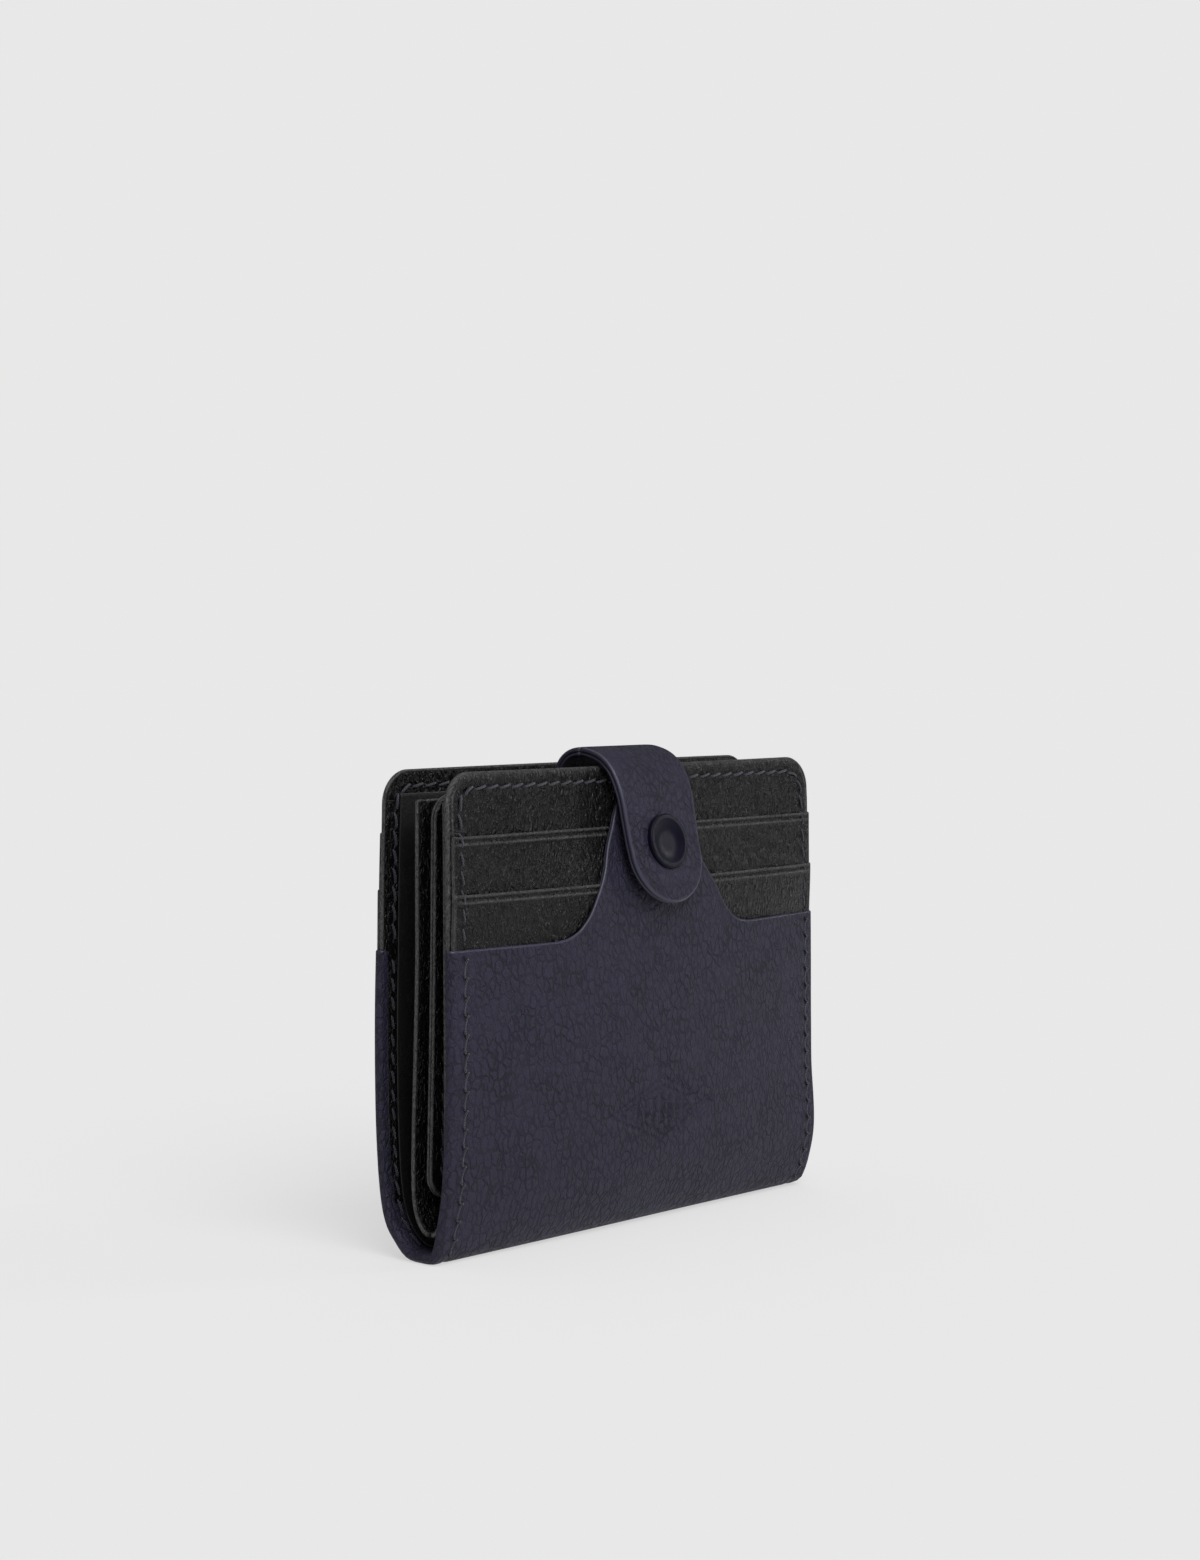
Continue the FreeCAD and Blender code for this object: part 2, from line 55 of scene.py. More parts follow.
def low(node):
    """The lowest corner of a CAD node's box, in millimetres."""
    return np.array(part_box(node)[0]) / MM


def high(node):
    """The highest corner of a CAD node's box, in millimetres."""
    return np.array(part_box(node)[1]) / MM


# Sizes in millimetres. Y runs from the front cover (-) to the back cover (+).
HALF = high("front_outer_pocket")[0]
TOP = high("front_shell")[2]
MOUTH = 53.6  # mouth of the front pocket, beside the tongue
BACK_MOUTH = 52.6
SLOT_LOW = 63.2  # mouths of the covers' card slots
SLOT_HIGH = 73.0
SLOT_FOOT = 42.0  # hidden lower edge of the slots
COVER_FOOT = 9.0  # hidden lower edge of the black covers
CORNER = 6.0  # radius of the covers' upper corners
SKIN = 0.65  # thickness of the navy leather
STACK = 2.0  # thickness of the pocket's edge, where the leather turns over
HEM = 4.4  # width of that turned edge, inside
SEAM_IN = 3.0  # from a cover's edge to its stitches
KNEE = 46.0  # below this the pocket's grid follows the fold
LINING_TOP = 79.5
EMBLEM_Z = 21.7
LEAF_SKIN = 0.9
STRAP_SKIN = 0.95
STRAP_LINING_SKIN = 0.6
TIP = 9.5  # length of the strap's round end
PITCH = 3.2  # length of a stitch
THREAD_RADIUS = 0.23
HOLE_SIDES = 10

# Shifts of the grain, so that neighbouring pieces don't repeat each other.
GRAIN = {
    "slot_upper": 17,
    "slot_lower": 41,
    "strap": 60,
    "lining": 83,
    "leaf": 120,
    "leaf_slot": 150,
    "page_front": 190,
    "page_back": 230,
}

# Brightness of the paper behind the object, and of the air that lights it.
PAPER = 0.807
AIR = 0.12

# Camera: bearing and height in degrees, place and lens in millimetres.
CAMERA_AZIMUTH = -48.538
CAMERA_ELEVATION = 2.65
CAMERA_PLACE = (-379.63, -333.71, 104.02)
LENS = 63.9914


# ---------------------------------------------------------------- lines and grids
def steps(start, stop, coarse, spots=()):
    """Stations from start to stop, closer together near each (place, reach, fine) spot."""
    places = [start]
    while True:
        step = coarse
        for place, reach, fine in spots:
            away = max(0.0, abs(places[-1] - place) - reach)
            step = min(step, fine + 0.25 * away)
        if places[-1] + 1.4 * step > stop:
            break
        places.append(places[-1] + step)
    return np.array(places + [stop])


def ease(t, a, b, leave, arrive):
    """A cubic from a to b as t goes from 0 to 1, with its slopes at both ends."""
    return (
        a * (1 + 2 * t) * (1 - t) ** 2
        + leave * t * (1 - t) ** 2
        + b * t * t * (3 - 2 * t)
        + arrive * t * t * (t - 1)
    )


def curve(stations):
    """A smooth reading of (place, value) stations that doesn't overshoot them."""
    xs, ys = np.array(sorted(stations), float).T
    rise = np.diff(ys) / np.diff(xs)
    slope = np.zeros(len(xs))
    slope[0], slope[-1] = rise[0], rise[-1]
    for i in range(1, len(xs) - 1):
        a, b = rise[i - 1], rise[i]
        slope[i] = 0 if a * b <= 0 else 2 * a * b / (a + b)

    def read(x):
        x = np.clip(x, xs[0], xs[-1])
        i = np.clip(np.searchsorted(xs, x, side="right") - 1, 0, len(xs) - 2)
        gap = xs[i + 1] - xs[i]
        return ease((x - xs[i]) / gap, ys[i], ys[i + 1], slope[i] * gap, slope[i + 1] * gap)

    return read


class Line:
    """A smooth side profile through (y, z, swell) stations, read by its length.

    Swell is how much further out the profile stands in the middle of the width.
    """

    def __init__(self, stations):
        p = np.array(stations, float)
        chord = np.hypot(*np.diff(p[:, :2], axis=0).T)
        k = np.concatenate([[0], np.cumsum(chord)])
        slope = np.gradient(p, k, axis=0)
        fine = np.linspace(0, k[-1], 4000)
        i = np.clip(np.searchsorted(k, fine, side="right") - 1, 0, len(k) - 2)
        gap = (k[i + 1] - k[i])[:, None]
        t = (fine - k[i])[:, None] / gap
        self.points = ease(t, p[i], p[i + 1], slope[i] * gap, slope[i + 1] * gap)
        run = np.hypot(*np.diff(self.points[:, :2], axis=0).T)
        self.s = np.concatenate([[0], np.cumsum(run)])
        self.length = self.s[-1]
        turn = np.gradient(self.points[:, :2], self.s, axis=0)
        turn /= np.hypot(*turn.T)[:, None]
        self.inward = np.stack([-turn[:, 1], turn[:, 0]], -1)

    def at(self, s):
        y, z, swell = (np.interp(s, self.s, self.points[:, c]) for c in range(3))
        ny, nz = (np.interp(s, self.s, self.inward[:, c]) for c in range(2))
        return y, z, swell, ny, nz

    def where_z(self, z, back=False):
        """The length at which the line passes height z, on its front or back arm."""
        middle = int(np.argmin(self.points[:, 1]))
        if back:
            return np.interp(z, self.points[middle:, 1], self.s[middle:])
        return np.interp(-z, -self.points[:middle, 1], self.s[:middle])

    def where_y(self, y):
        """The length at which the line crosses y, along the bottom of the fold."""
        return float(np.interp(y, self.points[:, 0], self.s))

    def where_top(self):
        """The length at which the line is highest."""
        return float(self.s[int(np.argmax(self.points[:, 1]))])


def crown(x):
    """1 in the middle of a cover and 0 at its sides."""
    return np.clip(1 - (x / HALF) ** 2, 0, 1)


def dip(away, width):
    """A smooth bump: 1 where away is 0, and gone two widths off."""
    return np.exp(-((away / width) ** 2))


def both_sides(right):
    """Stations from the middle to the right, and the same to the left."""
    return np.concatenate([-right[:0:-1], right])


def side_name(back):
    """The word for a side in the names of pieces."""
    return "back" if back else "front"


# ---------------------------------------------------------------- meshes
def make_mesh(name, verts, faces, uvs, kinds, sharp, wear_and_highlight, materials):
    """A mesh from points in millimetres; kinds says which material each face has."""
    mesh = bpy.data.meshes.new(name)
    mesh.from_pydata((np.asarray(verts) * MM).tolist(), [], faces)
    for material in materials:
        mesh.materials.append(material)
    mesh.polygons.foreach_set("material_index", kinds)
    mesh.polygons.foreach_set("use_smooth", [True] * len(faces))
    layer = mesh.uv_layers.new(name="grain")
    index = np.zeros(len(mesh.loops), int)
    mesh.loops.foreach_get("vertex_index", index)
    layer.data.foreach_set("uv", np.asarray(uvs, float)[index].ravel())
    # Stored mask: edge wear and painted highlight, read by the leather's colour.
    worn_and_lit = mesh.attributes.new("wear_and_highlight", "FLOAT", "POINT")
    worn_and_lit.data.foreach_set("value", np.asarray(wear_and_highlight, float))
    if sharp:
        edge_sharp = mesh.attributes.new("sharp_edge", "BOOLEAN", "EDGE")
        for edge in mesh.edges:
            if tuple(sorted(edge.vertices)) in sharp:
                edge_sharp.data[edge.index].value = True
    mesh.update()
    piece = bpy.data.objects.new(name, mesh)
    bpy.context.scene.collection.objects.link(piece)
    return piece


def shell(name, outer, inner, uv, materials, flat=False, ring=4, round_by=1.0, painted_highlight=None):
    """A closed skin between two grids of points, its free edges rounded.

    The last argument gives each outer grid point its painted highlight; the free edges always
    get edge wear and painted highlight together.
    Rub is how worn each point of the outer grid is; the free edges are always worn.
    """
    rows, cols = outer.shape[:2]
    count = rows * cols
    verts = [outer.reshape(-1, 3), inner.reshape(-1, 3)]
    uvs = [uv.reshape(-1, 2), uv.reshape(-1, 2)]
    loop = [(0, j) for j in range(cols - 1)]
    loop += [(i, cols - 1) for i in range(rows - 1)]
    loop += [(rows - 1, j) for j in range(cols - 1, 0, -1)]
    loop += [(i, 0) for i in range(rows - 1, 0, -1)]
    ij = np.array(loop)
    p, q = outer[ij[:, 0], ij[:, 1]], inner[ij[:, 0], ij[:, 1]]
    step_in = np.clip(ij, 1, [rows - 2, cols - 2])
    away = p - outer[step_in[:, 0], step_in[:, 1]]
    across = (p - q) / 2
    half = np.linalg.norm(across, axis=1)[:, None]
    along = np.roll(p, -1, 0) - np.roll(p, 1, 0)
    out = np.cross(along, across)
    out /= np.maximum(np.linalg.norm(out, axis=1), 1e-9)[:, None]
    out *= np.sign((out * away).sum(1))[:, None]
    straight = (ij[:, 0] == rows - 1) & flat
    bulge = np.where(straight, 0.0, round_by)[:, None]
    n = len(ij)
    for k in range(1, ring):
        angle = math.pi * k / ring
        point = (p + q) / 2 + across * math.cos(angle)
        verts.append(point + out * half * bulge * math.sin(angle))
        uvs.append(uv[ij[:, 0], ij[:, 1]] + 0.3 * k)
    top = ij[:, 0] * cols + ij[:, 1]
    rings = [top] + [2 * count + k * n + np.arange(n) for k in range(ring - 1)]
    rings.append(top + count)
    faces = []
    for i in range(rows - 1):
        for j in range(cols - 1):
            a = i * cols + j
            quad = (a, a + 1, a + cols + 1, a + cols)
            faces.append(quad)
            faces.append(tuple(count + v for v in reversed(quad)))
    kinds = [0] * len(faces)
    rim_kind = min(1, len(materials) - 1)
    for first, second in zip(rings, rings[1:]):
        for k in range(n):
            m = (k + 1) % n
            faces.append((int(first[m]), int(first[k]), int(second[k]), int(second[m])))
            kinds.append(0 if straight[k] and straight[m] else rim_kind)
    sharp = set()
    for k in range(n):
        m = (k + 1) % n
        if straight[k] and straight[m]:
            for circle in (rings[0], rings[-1]):
                sharp.add(tuple(sorted((int(circle[k]), int(circle[m])))))
    verts, uvs = np.concatenate(verts), np.concatenate(uvs)
    # A mask of edge wear and painted highlight, which lightens the leather's colour.
    wear_and_highlight = np.zeros(len(verts))
    if painted_highlight is not None:
        wear_and_highlight[:count] = painted_highlight.reshape(-1)
    wear_and_highlight[2 * count:] = np.tile(~straight, ring - 1)
    wear_and_highlight[top[~straight]] = np.maximum(wear_and_highlight[top[~straight]], 0.6)
    piece = make_mesh(name, verts, faces, uvs, kinds, sharp, wear_and_highlight, materials)
    turn_outward(piece)
    return piece


def bend_between(piece):
    """Bakes a piece's placement into its mesh; nothing bends it between bodies."""
    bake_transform(piece)


def turn_outward(piece):
    """Makes every face of a closed mesh look outwards."""
    mesh = piece.data
    volume = 0.0
    for polygon in mesh.polygons:
        volume += polygon.center.dot(polygon.normal) * polygon.area
    if volume < 0:
        mesh.flip_normals()


class Path:
    """Stations (u, v) on the surface place(u, v), read by the length along them."""

    def __init__(self, place, stations):
        u, v = (np.array(c, float) for c in zip(*stations))
        self.points = place(u, v)
        du = place(u + 0.2, v) - place(u - 0.2, v)
        dv = place(u, v + 0.2) - place(u, v - 0.2)
        self.normals = np.cross(du, dv)
        self.normals /= np.linalg.norm(self.normals, axis=1)[:, None]
        gaps = np.linalg.norm(np.diff(self.points, axis=0), axis=1)
        self.run = np.concatenate([[0], np.cumsum(gaps)])

    def read(self, values, s):
        return np.array([np.interp(s, self.run, values[:, axis]) for axis in range(3)])

    def at(self, s):
        """The point, the normal and the way ahead at length s."""
        point = self.read(self.points, s)
        return point, self.read(self.normals, s), self.read(self.points, s + 0.3) - point


def stitch_line(path, start, lift):
    """The middle and the normals of a slanted stitch that dives in at both ends."""
    sag, slant = 0.42, 0.34
    centre, normals = [], []
    for t in np.linspace(0, 1, 9):
        point, normal, ahead = path.at(start + 0.05 + t * (PITCH - 0.1))
        side = np.cross(normal, ahead)
        side /= max(np.linalg.norm(side), 1e-9)
        rise = lift - (lift + sag) * abs(2 * t - 1) ** 3.5
        centre.append(point + normal * rise + side * slant * (2 * t - 1))
        normals.append(normal)
    return centre, normals


def stitch_skin(centre, normals, base, shift):
    """Vertices, thread coordinates and faces of one closed stitch."""
    sides, rings = 7, len(centre)
    verts, uvs, faces = [], [], []
    for r in range(rings):
        before, after = centre[max(r - 1, 0)], centre[min(r + 1, rings - 1)]
        ahead = (after - before) / np.linalg.norm(after - before)
        side = np.cross(normals[r], ahead)
        side /= np.linalg.norm(side)
        up = np.cross(ahead, side)
        radius = THREAD_RADIUS * (0.75 if r in (0, rings - 1) else 1.0)
        for m in range(sides):
            a = 2 * math.pi * m / sides
            verts.append(centre[r] + radius * (math.cos(a) * side + math.sin(a) * up))
            uvs.append((m / sides * 1.4 + shift, r / (rings - 1) * PITCH))
    for r in range(rings - 1):
        for m in range(sides):
            a, b = base + r * sides + m, base + r * sides + (m + 1) % sides
            faces.append((a, b, b + sides, a + sides))
    faces.append(tuple(base + m for m in reversed(range(sides))))
    faces.append(tuple(base + (rings - 1) * sides + m for m in range(sides)))
    return verts, uvs, faces


def hole_skin(point, normal, ahead, base):
    """Vertices and faces of the slanted dark slot that a stitch goes through, its dark colour
    painted shade of the hole.
    """
    ahead = ahead / np.linalg.norm(ahead)
    side = np.cross(normal, ahead)
    long_way, short_way = ahead * 0.8 - side * 0.6, ahead * 0.6 + side * 0.8
    verts, faces = [], []
    for m in range(HOLE_SIDES):
        a = 2 * math.pi * m / HOLE_SIDES
        rim = 0.5 * math.cos(a) * long_way + 0.27 * math.sin(a) * short_way
        verts.append(point + rim - 0.1 * normal)
        left, right = base + m, base + (m + 1) % HOLE_SIDES
        faces.append((left, right, base + HOLE_SIDES))
        faces.append((right, left, base + HOLE_SIDES + 1))
    verts += [point + 0.13 * normal, point - 0.3 * normal]
    return verts, faces


def seam(name, place, stations, start, lift=0.17):
    """Slanted stitches, and painted shade at their holes, along (u, v) stations on place(u,
    v).
    """
    path = Path(place, stations)
    count = int((path.run[-1] - start) // PITCH)
    verts, uvs, faces = [], [], []
    for k in range(count):
        centre, normals = stitch_line(path, start + k * PITCH, lift)
        added = stitch_skin(centre, normals, len(verts), shift=k * 3.1)
        verts += added[0]
        uvs += added[1]
        faces += added[2]
    thread_faces = len(faces)
    for k in range(count + 1):
        point, normal, ahead = path.at(start + k * PITCH)
        if np.linalg.norm(ahead) < 1e-6:
            continue
        added = hole_skin(point, normal, ahead, len(verts))
        verts += added[0]
        faces += added[1]
    uvs += [(0.0, 0.0)] * (len(verts) - len(uvs))
    kinds = [0] * thread_faces + [1] * (len(faces) - thread_faces)
    # Stitches get neither edge wear nor painted highlight.
    no_wear_no_highlight = [0.0] * len(verts)
    piece = make_mesh(name, verts, faces, uvs, kinds, None, no_wear_no_highlight, [THREAD, HOLE_SHADE])
    turn_outward(piece)
    return piece


# ---------------------------------------------------------------- materials
class Nodes:
    """A material's node tree, built up one node at a time."""

    def __init__(self, name):
        self.material = bpy.data.materials.new(name)
        self.material.use_nodes = True
        self.tree = self.material.node_tree
        self.shader = self.tree.nodes["Principled BSDF"]

    def add(self, kind, **inputs):
        """A node; each keyword is a setting, an input's name, or iN for input N."""
        node = self.tree.nodes.new("ShaderNode" + kind)
        for key, value in inputs.items():
            if hasattr(node, key) and not isinstance(value, bpy.types.NodeSocket):
                setattr(node, key, value)
                continue
            socket = node.inputs[int(key[1:]) if key[0] == "i" and key[1:].isdigit() else key]
            if isinstance(value, bpy.types.NodeSocket):
                self.tree.links.new(value, socket)
            else:
                socket.default_value = value
        return node

    def math(self, operation, a, b=0.0, c=0.0):
        node = self.add("Math", operation=operation, i0=a, i1=b, i2=c)
        return node.outputs[0]

    def mix(self, share, a, b):
        """A colour between a and b; a Mix node's colours are inputs 6 and 7, output 2."""
        node = self.add("Mix", data_type="RGBA", Factor=share)
        for socket, value in ((node.inputs[6], a), (node.inputs[7], b)):
            if isinstance(value, bpy.types.NodeSocket):
                self.tree.links.new(value, socket)
            else:
                socket.default_value = (*value, 1)
        return node.outputs[2]

    def spread(self, value, low_in, high_in, low_out=0.0, high_out=1.0, soft=False):
        """Stretches a range of values over another range."""
        node = self.add(
            "MapRange",
            interpolation_type="SMOOTHSTEP" if soft else "LINEAR",
            Value=value,
            **{
                "From Min": low_in,
                "From Max": high_in,
                "To Min": low_out,
                "To Max": high_out,
            },
        )
        return node.outputs[0]

    def link(self, output, socket):
        self.tree.links.new(output, self.shader.inputs[socket])

    def put(self, **values):
        for key, value in values.items():
            self.shader.inputs[key.replace("_", " ")].default_value = value


def grain_space(n, stretch):
    """The skin's own (across, along) millimetres, gently warped."""
    uv = n.add("UVMap", uv_map="grain").outputs["UV"]
    scaled = n.add("Mapping", vector_type="POINT", Vector=uv, Scale=(1, stretch, 1))
    warp = n.add("TexNoise", Vector=uv, Scale=0.45, Detail=2.0).outputs["Color"]
    shift = n.add("VectorMath", operation="SCALE", i0=warp, Scale=1.5).outputs[0]
    added = n.add("VectorMath", operation="ADD", i0=scaled.outputs[0], i1=shift)
    return uv, added.outputs[0]


def leather(
    name, colour, creased, worn_and_lit, cell, stretch, depth, rough, crease_width, shine, calm
):
    """Leather with a cellular grain: cell is its size and depth its relief, in mm.

    Creased is the colour between the cells, the third colour that of edge wear and of painted
    highlights on rims and lines, and calm the strength of the grain where it is weakest.
    """
    n = Nodes(name)
    uv, space = grain_space(n, stretch)
    cells = n.add(
        "TexVoronoi", feature="DISTANCE_TO_EDGE", Vector=space, Scale=1 / cell
    ).outputs["Distance"]
    fine = n.add(
        "TexVoronoi", feature="DISTANCE_TO_EDGE", Vector=space, Scale=2.3 / cell
    ).outputs["Distance"]
    cloud = n.add("TexNoise", Vector=uv, Scale=0.09, Detail=3.0).outputs["Fac"]
    dust = n.add("TexNoise", Vector=space, Scale=3.2 / cell, Detail=4.0).outputs["Fac"]
    strength = n.add("TexNoise", Vector=uv, Scale=0.16, Detail=2.0).outputs["Fac"]
    strength = n.spread(strength, 0.36, 0.62, calm, 1.0)
    pebble = n.spread(cells, 0.0, crease_width, soft=True)
    small = n.spread(fine, 0.0, crease_width * 1.2, soft=True)
    height = n.math("MULTIPLY", pebble, strength)
    height = n.math("MULTIPLY_ADD", small, 0.35, height)
    height = n.math("MULTIPLY_ADD", dust, 0.55, height)
    bump = n.add("Bump", Height=height, Strength=1.0, Distance=depth * MM)
    n.link(bump.outputs[0], "Normal")
    wear_and_highlight = n.add("Attribute", attribute_name="wear_and_highlight").outputs["Fac"]
    crease = n.math("SUBTRACT", 1.0, pebble)
    crease = n.math("MULTIPLY", crease, strength)
    shade = n.mix(n.math("MULTIPLY", crease, 0.75), colour, creased)
    pale = tuple(c * 1.22 for c in colour)
    shade = n.mix(n.spread(cloud, 0.35, 0.7, 0.0, 0.5), shade, pale)
    # The stored mask lightens rims and marked lines towards the third colour: partly edge
    # wear, partly painted highlight.
    worn_and_lit_share = n.math("MULTIPLY", wear_and_highlight, n.spread(dust, 0.3, 0.7, 0.25, 0.8))
    shade = n.mix(worn_and_lit_share, shade, worn_and_lit)
    n.link(shade, "Base Color")
    gloss = n.spread(dust, 0.25, 0.75, rough - 0.07, rough + 0.07)
    gloss = n.math("MULTIPLY_ADD", crease, 0.12, gloss)
    n.link(gloss, "Roughness")
    n.put(Specular_IOR_Level=shine)
    return n.material


def thread(name, colour, dark):
    """Twisted sewing thread."""
    n = Nodes(name)
    uv = n.add("UVMap", uv_map="grain").outputs["UV"]
    twist = n.add(
        "TexWave", bands_direction="DIAGONAL", Vector=uv, Scale=1.4, Distortion=0.4
    ).outputs["Fac"]
    fuzz = n.add("TexNoise", Vector=uv, Scale=6.0, Detail=3.0).outputs["Fac"]
    n.link(n.mix(n.math("MULTIPLY", twist, 0.8), dark, colour), "Base Color")
    height = n.math("MULTIPLY_ADD", fuzz, 0.3, twist)
    bump = n.add("Bump", Height=height, Strength=1.0, Distance=0.06 * MM)
    n.link(bump.outputs[0], "Normal")
    n.link(n.spread(fuzz, 0.3, 0.7, 0.48, 0.62), "Roughness")
    n.put(Sheen_Weight=0.25)
    return n.material


def painted_edge(name, colour, dark, rough):
    """The paint on a cut edge of leather."""
    n = Nodes(name)
    place = n.add("TexCoord").outputs["Object"]
    ripple = n.add("TexNoise", Vector=place, Scale=700.0, Detail=3.0).outputs["Fac"]
    smudge = n.add("TexNoise", Vector=place, Scale=120.0, Detail=2.0).outputs["Fac"]
    n.link(n.mix(n.spread(smudge, 0.3, 0.7), dark, colour), "Base Color")
    bump = n.add("Bump", Height=ripple, Strength=0.5, Distance=0.05 * MM)
    n.link(bump.outputs[0], "Normal")
    n.link(n.spread(ripple, 0.3, 0.7, rough - 0.06, rough + 0.06), "Roughness")
    return n.material


def metal(name, colour, dark):
    """Brushed metal."""
    n = Nodes(name)
    place = n.add("TexCoord").outputs["Object"]
    brush = n.add("Mapping", Vector=place, Scale=(900, 900, 90)).outputs[0]
    scratch = n.add("TexNoise", Vector=brush, Scale=1.0, Detail=4.0).outputs["Fac"]
    n.link(n.mix(n.spread(scratch, 0.3, 0.7), dark, colour), "Base Color")
    bump = n.add("Bump", Height=scratch, Strength=0.3, Distance=0.01 * MM)
    n.link(bump.outputs[0], "Normal")
    n.link(n.spread(scratch, 0.3, 0.7, 0.2, 0.34), "Roughness")
    n.put(Metallic=1.0)
    return n.material


def cap_lacquer(name):
    """The dark satin lacquer of the snap cap."""
    n = Nodes(name)
    place = n.add("TexCoord").outputs["Object"]
    mist = n.add("TexNoise", Vector=place, Scale=900.0, Detail=3.0).outputs["Fac"]
    tone = n.add("TexNoise", Vector=place, Scale=150.0, Detail=2.0).outputs["Fac"]
    n.link(n.mix(tone, (0.0044, 0.0042, 0.0105), (0.0068, 0.0064, 0.0150)), "Base Color")
    bump = n.add("Bump", Height=mist, Strength=0.4, Distance=0.01 * MM)
    n.link(bump.outputs[0], "Normal")
    n.link(n.spread(mist, 0.3, 0.7, 0.30, 0.38), "Roughness")
    n.put(Specular_IOR_Level=0.08)
    return n.material


# Each leather's third colour lightens its rims and marked lines: partly edge wear, partly
# painted highlight.
PEBBLED = leather(
    "pebbled_navy",
    (0.0165, 0.0153, 0.0335),
    (0.0042, 0.0040, 0.0100),
    (0.0520, 0.0500, 0.0850),
    cell=1.35,
    stretch=0.6,
    depth=0.2,
    rough=0.58,
    crease_width=0.2,
    shine=0.3,
    calm=0.5,
)
# Black's third colour is far brighter than its base: it paints highlights on rims and ridge
# lines.
BLACK = leather(
    "smooth_black",
    (0.0030, 0.0030, 0.0033),
    (0.0010, 0.0010, 0.0010),
    (0.1100, 0.1100, 0.1140),
    cell=0.95,
    stretch=0.5,
    depth=0.3,
    rough=0.25,
    crease_width=0.42,
    shine=0.24,
    calm=0.55,
)
LINING = leather(
    "lining_black",
    (0.0100, 0.0100, 0.0110),
    (0.0045, 0.0045, 0.0050),
    (0.0300, 0.0300, 0.0320),
    cell=0.5,
    stretch=0.8,
    depth=0.04,
    rough=0.5,
    crease_width=0.25,
    shine=0.3,
    calm=0.5,
)
STRAP_LINING = leather(
    "strap_lining_plum",
    (0.0200, 0.0150, 0.0330),
    (0.0080, 0.0060, 0.0140),
    (0.0420, 0.0360, 0.0700),
    cell=0.5,
    stretch=0.8,
    depth=0.04,
    rough=0.55,
    crease_width=0.25,
    shine=0.3,
    calm=0.5,
)
EDGE_NAVY = painted_edge("edge_navy", (0.034, 0.032, 0.060), (0.018, 0.017, 0.034), 0.45)
EDGE_BLACK = painted_edge("edge_black", (0.012, 0.012, 0.012), (0.006, 0.006, 0.006), 0.4)
THREAD = thread("thread_navy", (0.017, 0.016, 0.043), (0.005, 0.0045, 0.013))
# Painted shade: the near-black colour of the stitch holes.
HOLE_SHADE = painted_edge("stitch_hole_shade", (0.004, 0.004, 0.006), (0.002, 0.002, 0.003), 0.8)
STEEL = metal("snap_steel_brushed", (0.55, 0.56, 0.58), (0.36, 0.37, 0.39))
LACQUER = cap_lacquer("cap_lacquer_navy")


# ---------------------------------------------------------------- side profiles
NAVY_LINE = Line(
    [
        (-8.75, 78.6, -0.6), (-8.9, 74.0, -1.35), (-9.05, 69.3, -1.75),
        (-9.12, 65.0, -2.9), (-9.15, 61.0, -3.75), (-9.15, 57.5, -4.0), (-9.2, 53.5, -4.0),
        (-9.28, 46.0, -4.2), (-9.3, 38.0, -4.4), (-9.24, 30.0, -4.5), (-8.95, 24.0, -4.45),
        (-8.62, 17.5, -4.2), (-7.95, 11.0, -3.6), (-7.1, 6.65, -2.8), (-6.3, 3.2, -1.9),
        (-5.4, 1.1, -1.1), (-4.2, 0.2, -0.5), (-2.6, 0.0, -0.1), (-1.0, 0.0, 0.0),
        (0.6, 0.05, 0.1), (1.9, 0.3, 0.3), (3.2, 1.05, 0.6), (5.0, 2.8, 1.0),
        (6.7, 4.75, 1.4), (7.7, 6.9, 1.7), (8.3, 9.2, 1.9), (8.9, 13.2, 2.2),
        (9.28, 17.6, 2.4), (9.54, 22.0, 2.5), (9.74, 30.0, 2.5), (9.7, 44.0, 2.4),
        (9.4, 53.5, 2.3),
    ]
)
LINING_LINE = Line(
    [
        (-6.95, 79.6, 1.15), (-7.1, 73.0, 0.1), (-7.12, 69.3, -0.5), (-7.12, 65.0, -1.7),
        (-7.12, 61.0, -2.5), (-7.12, 55.0, -2.9), (-7.15, 40.0, -3.1), (-7.12, 30.0, -3.1),
        (-6.9, 22.0, -3.0), (-6.6, 17.5, -2.8), (-6.05, 11.5, -2.3), (-5.3, 7.3, -1.6),
        (-4.7, 4.5, -1.0), (-3.9, 2.8, -0.5), (-2.6, 2.15, -0.1), (-1.0, 2.05, 0.0),
        (0.9, 2.2, 0.1), (2.3, 2.95, 0.3), (3.9, 4.4, 0.6), (5.2, 6.2, 0.9),
        (6.0, 8.2, 1.1), (6.55, 10.5, 1.2), (7.0, 13.8, 1.3), (7.3, 18.0, 1.4),
        (7.55, 22.5, 1.4), (7.72, 30.0, 1.4), (7.7, 44.0, 1.3), (7.5, 52.0, 1.2),
        (7.35, 62.0, 1.0), (7.1, 72.0, 0.7), (6.8, 79.6, 0.5),
    ]
)
LEAF_LINE = Line(
    [
        (-6.9, 79.0, 0.4), (-6.95, 70.0, -0.4), (-6.95, 60.0, -1.0), (-6.95, 50.0, -1.2),
        (-7.05, 37.0, -1.2), (-7.0, 24.0, -1.2), (-6.85, 16.0, -1.0), (-6.5, 11.0, -0.8),
        (-5.9, 7.9, -0.5), (-5.1, 5.9, -0.3), (-4.0, 4.75, -0.1), (-2.8, 4.45, 0.0),
        (-1.5, 4.75, 0.1), (-0.2, 5.9, 0.2), (0.8, 7.7, 0.3), (1.4, 10.0, 0.4),
        (1.65, 14.0, 0.5), (1.6, 20.0, 0.5), (1.25, 30.0, 0.5), (0.9, 40.0, 0.4),
        (0.6, 50.0, 0.4), (0.55, 64.0, 0.3), (0.5, 79.0, 0.2),
    ]
)
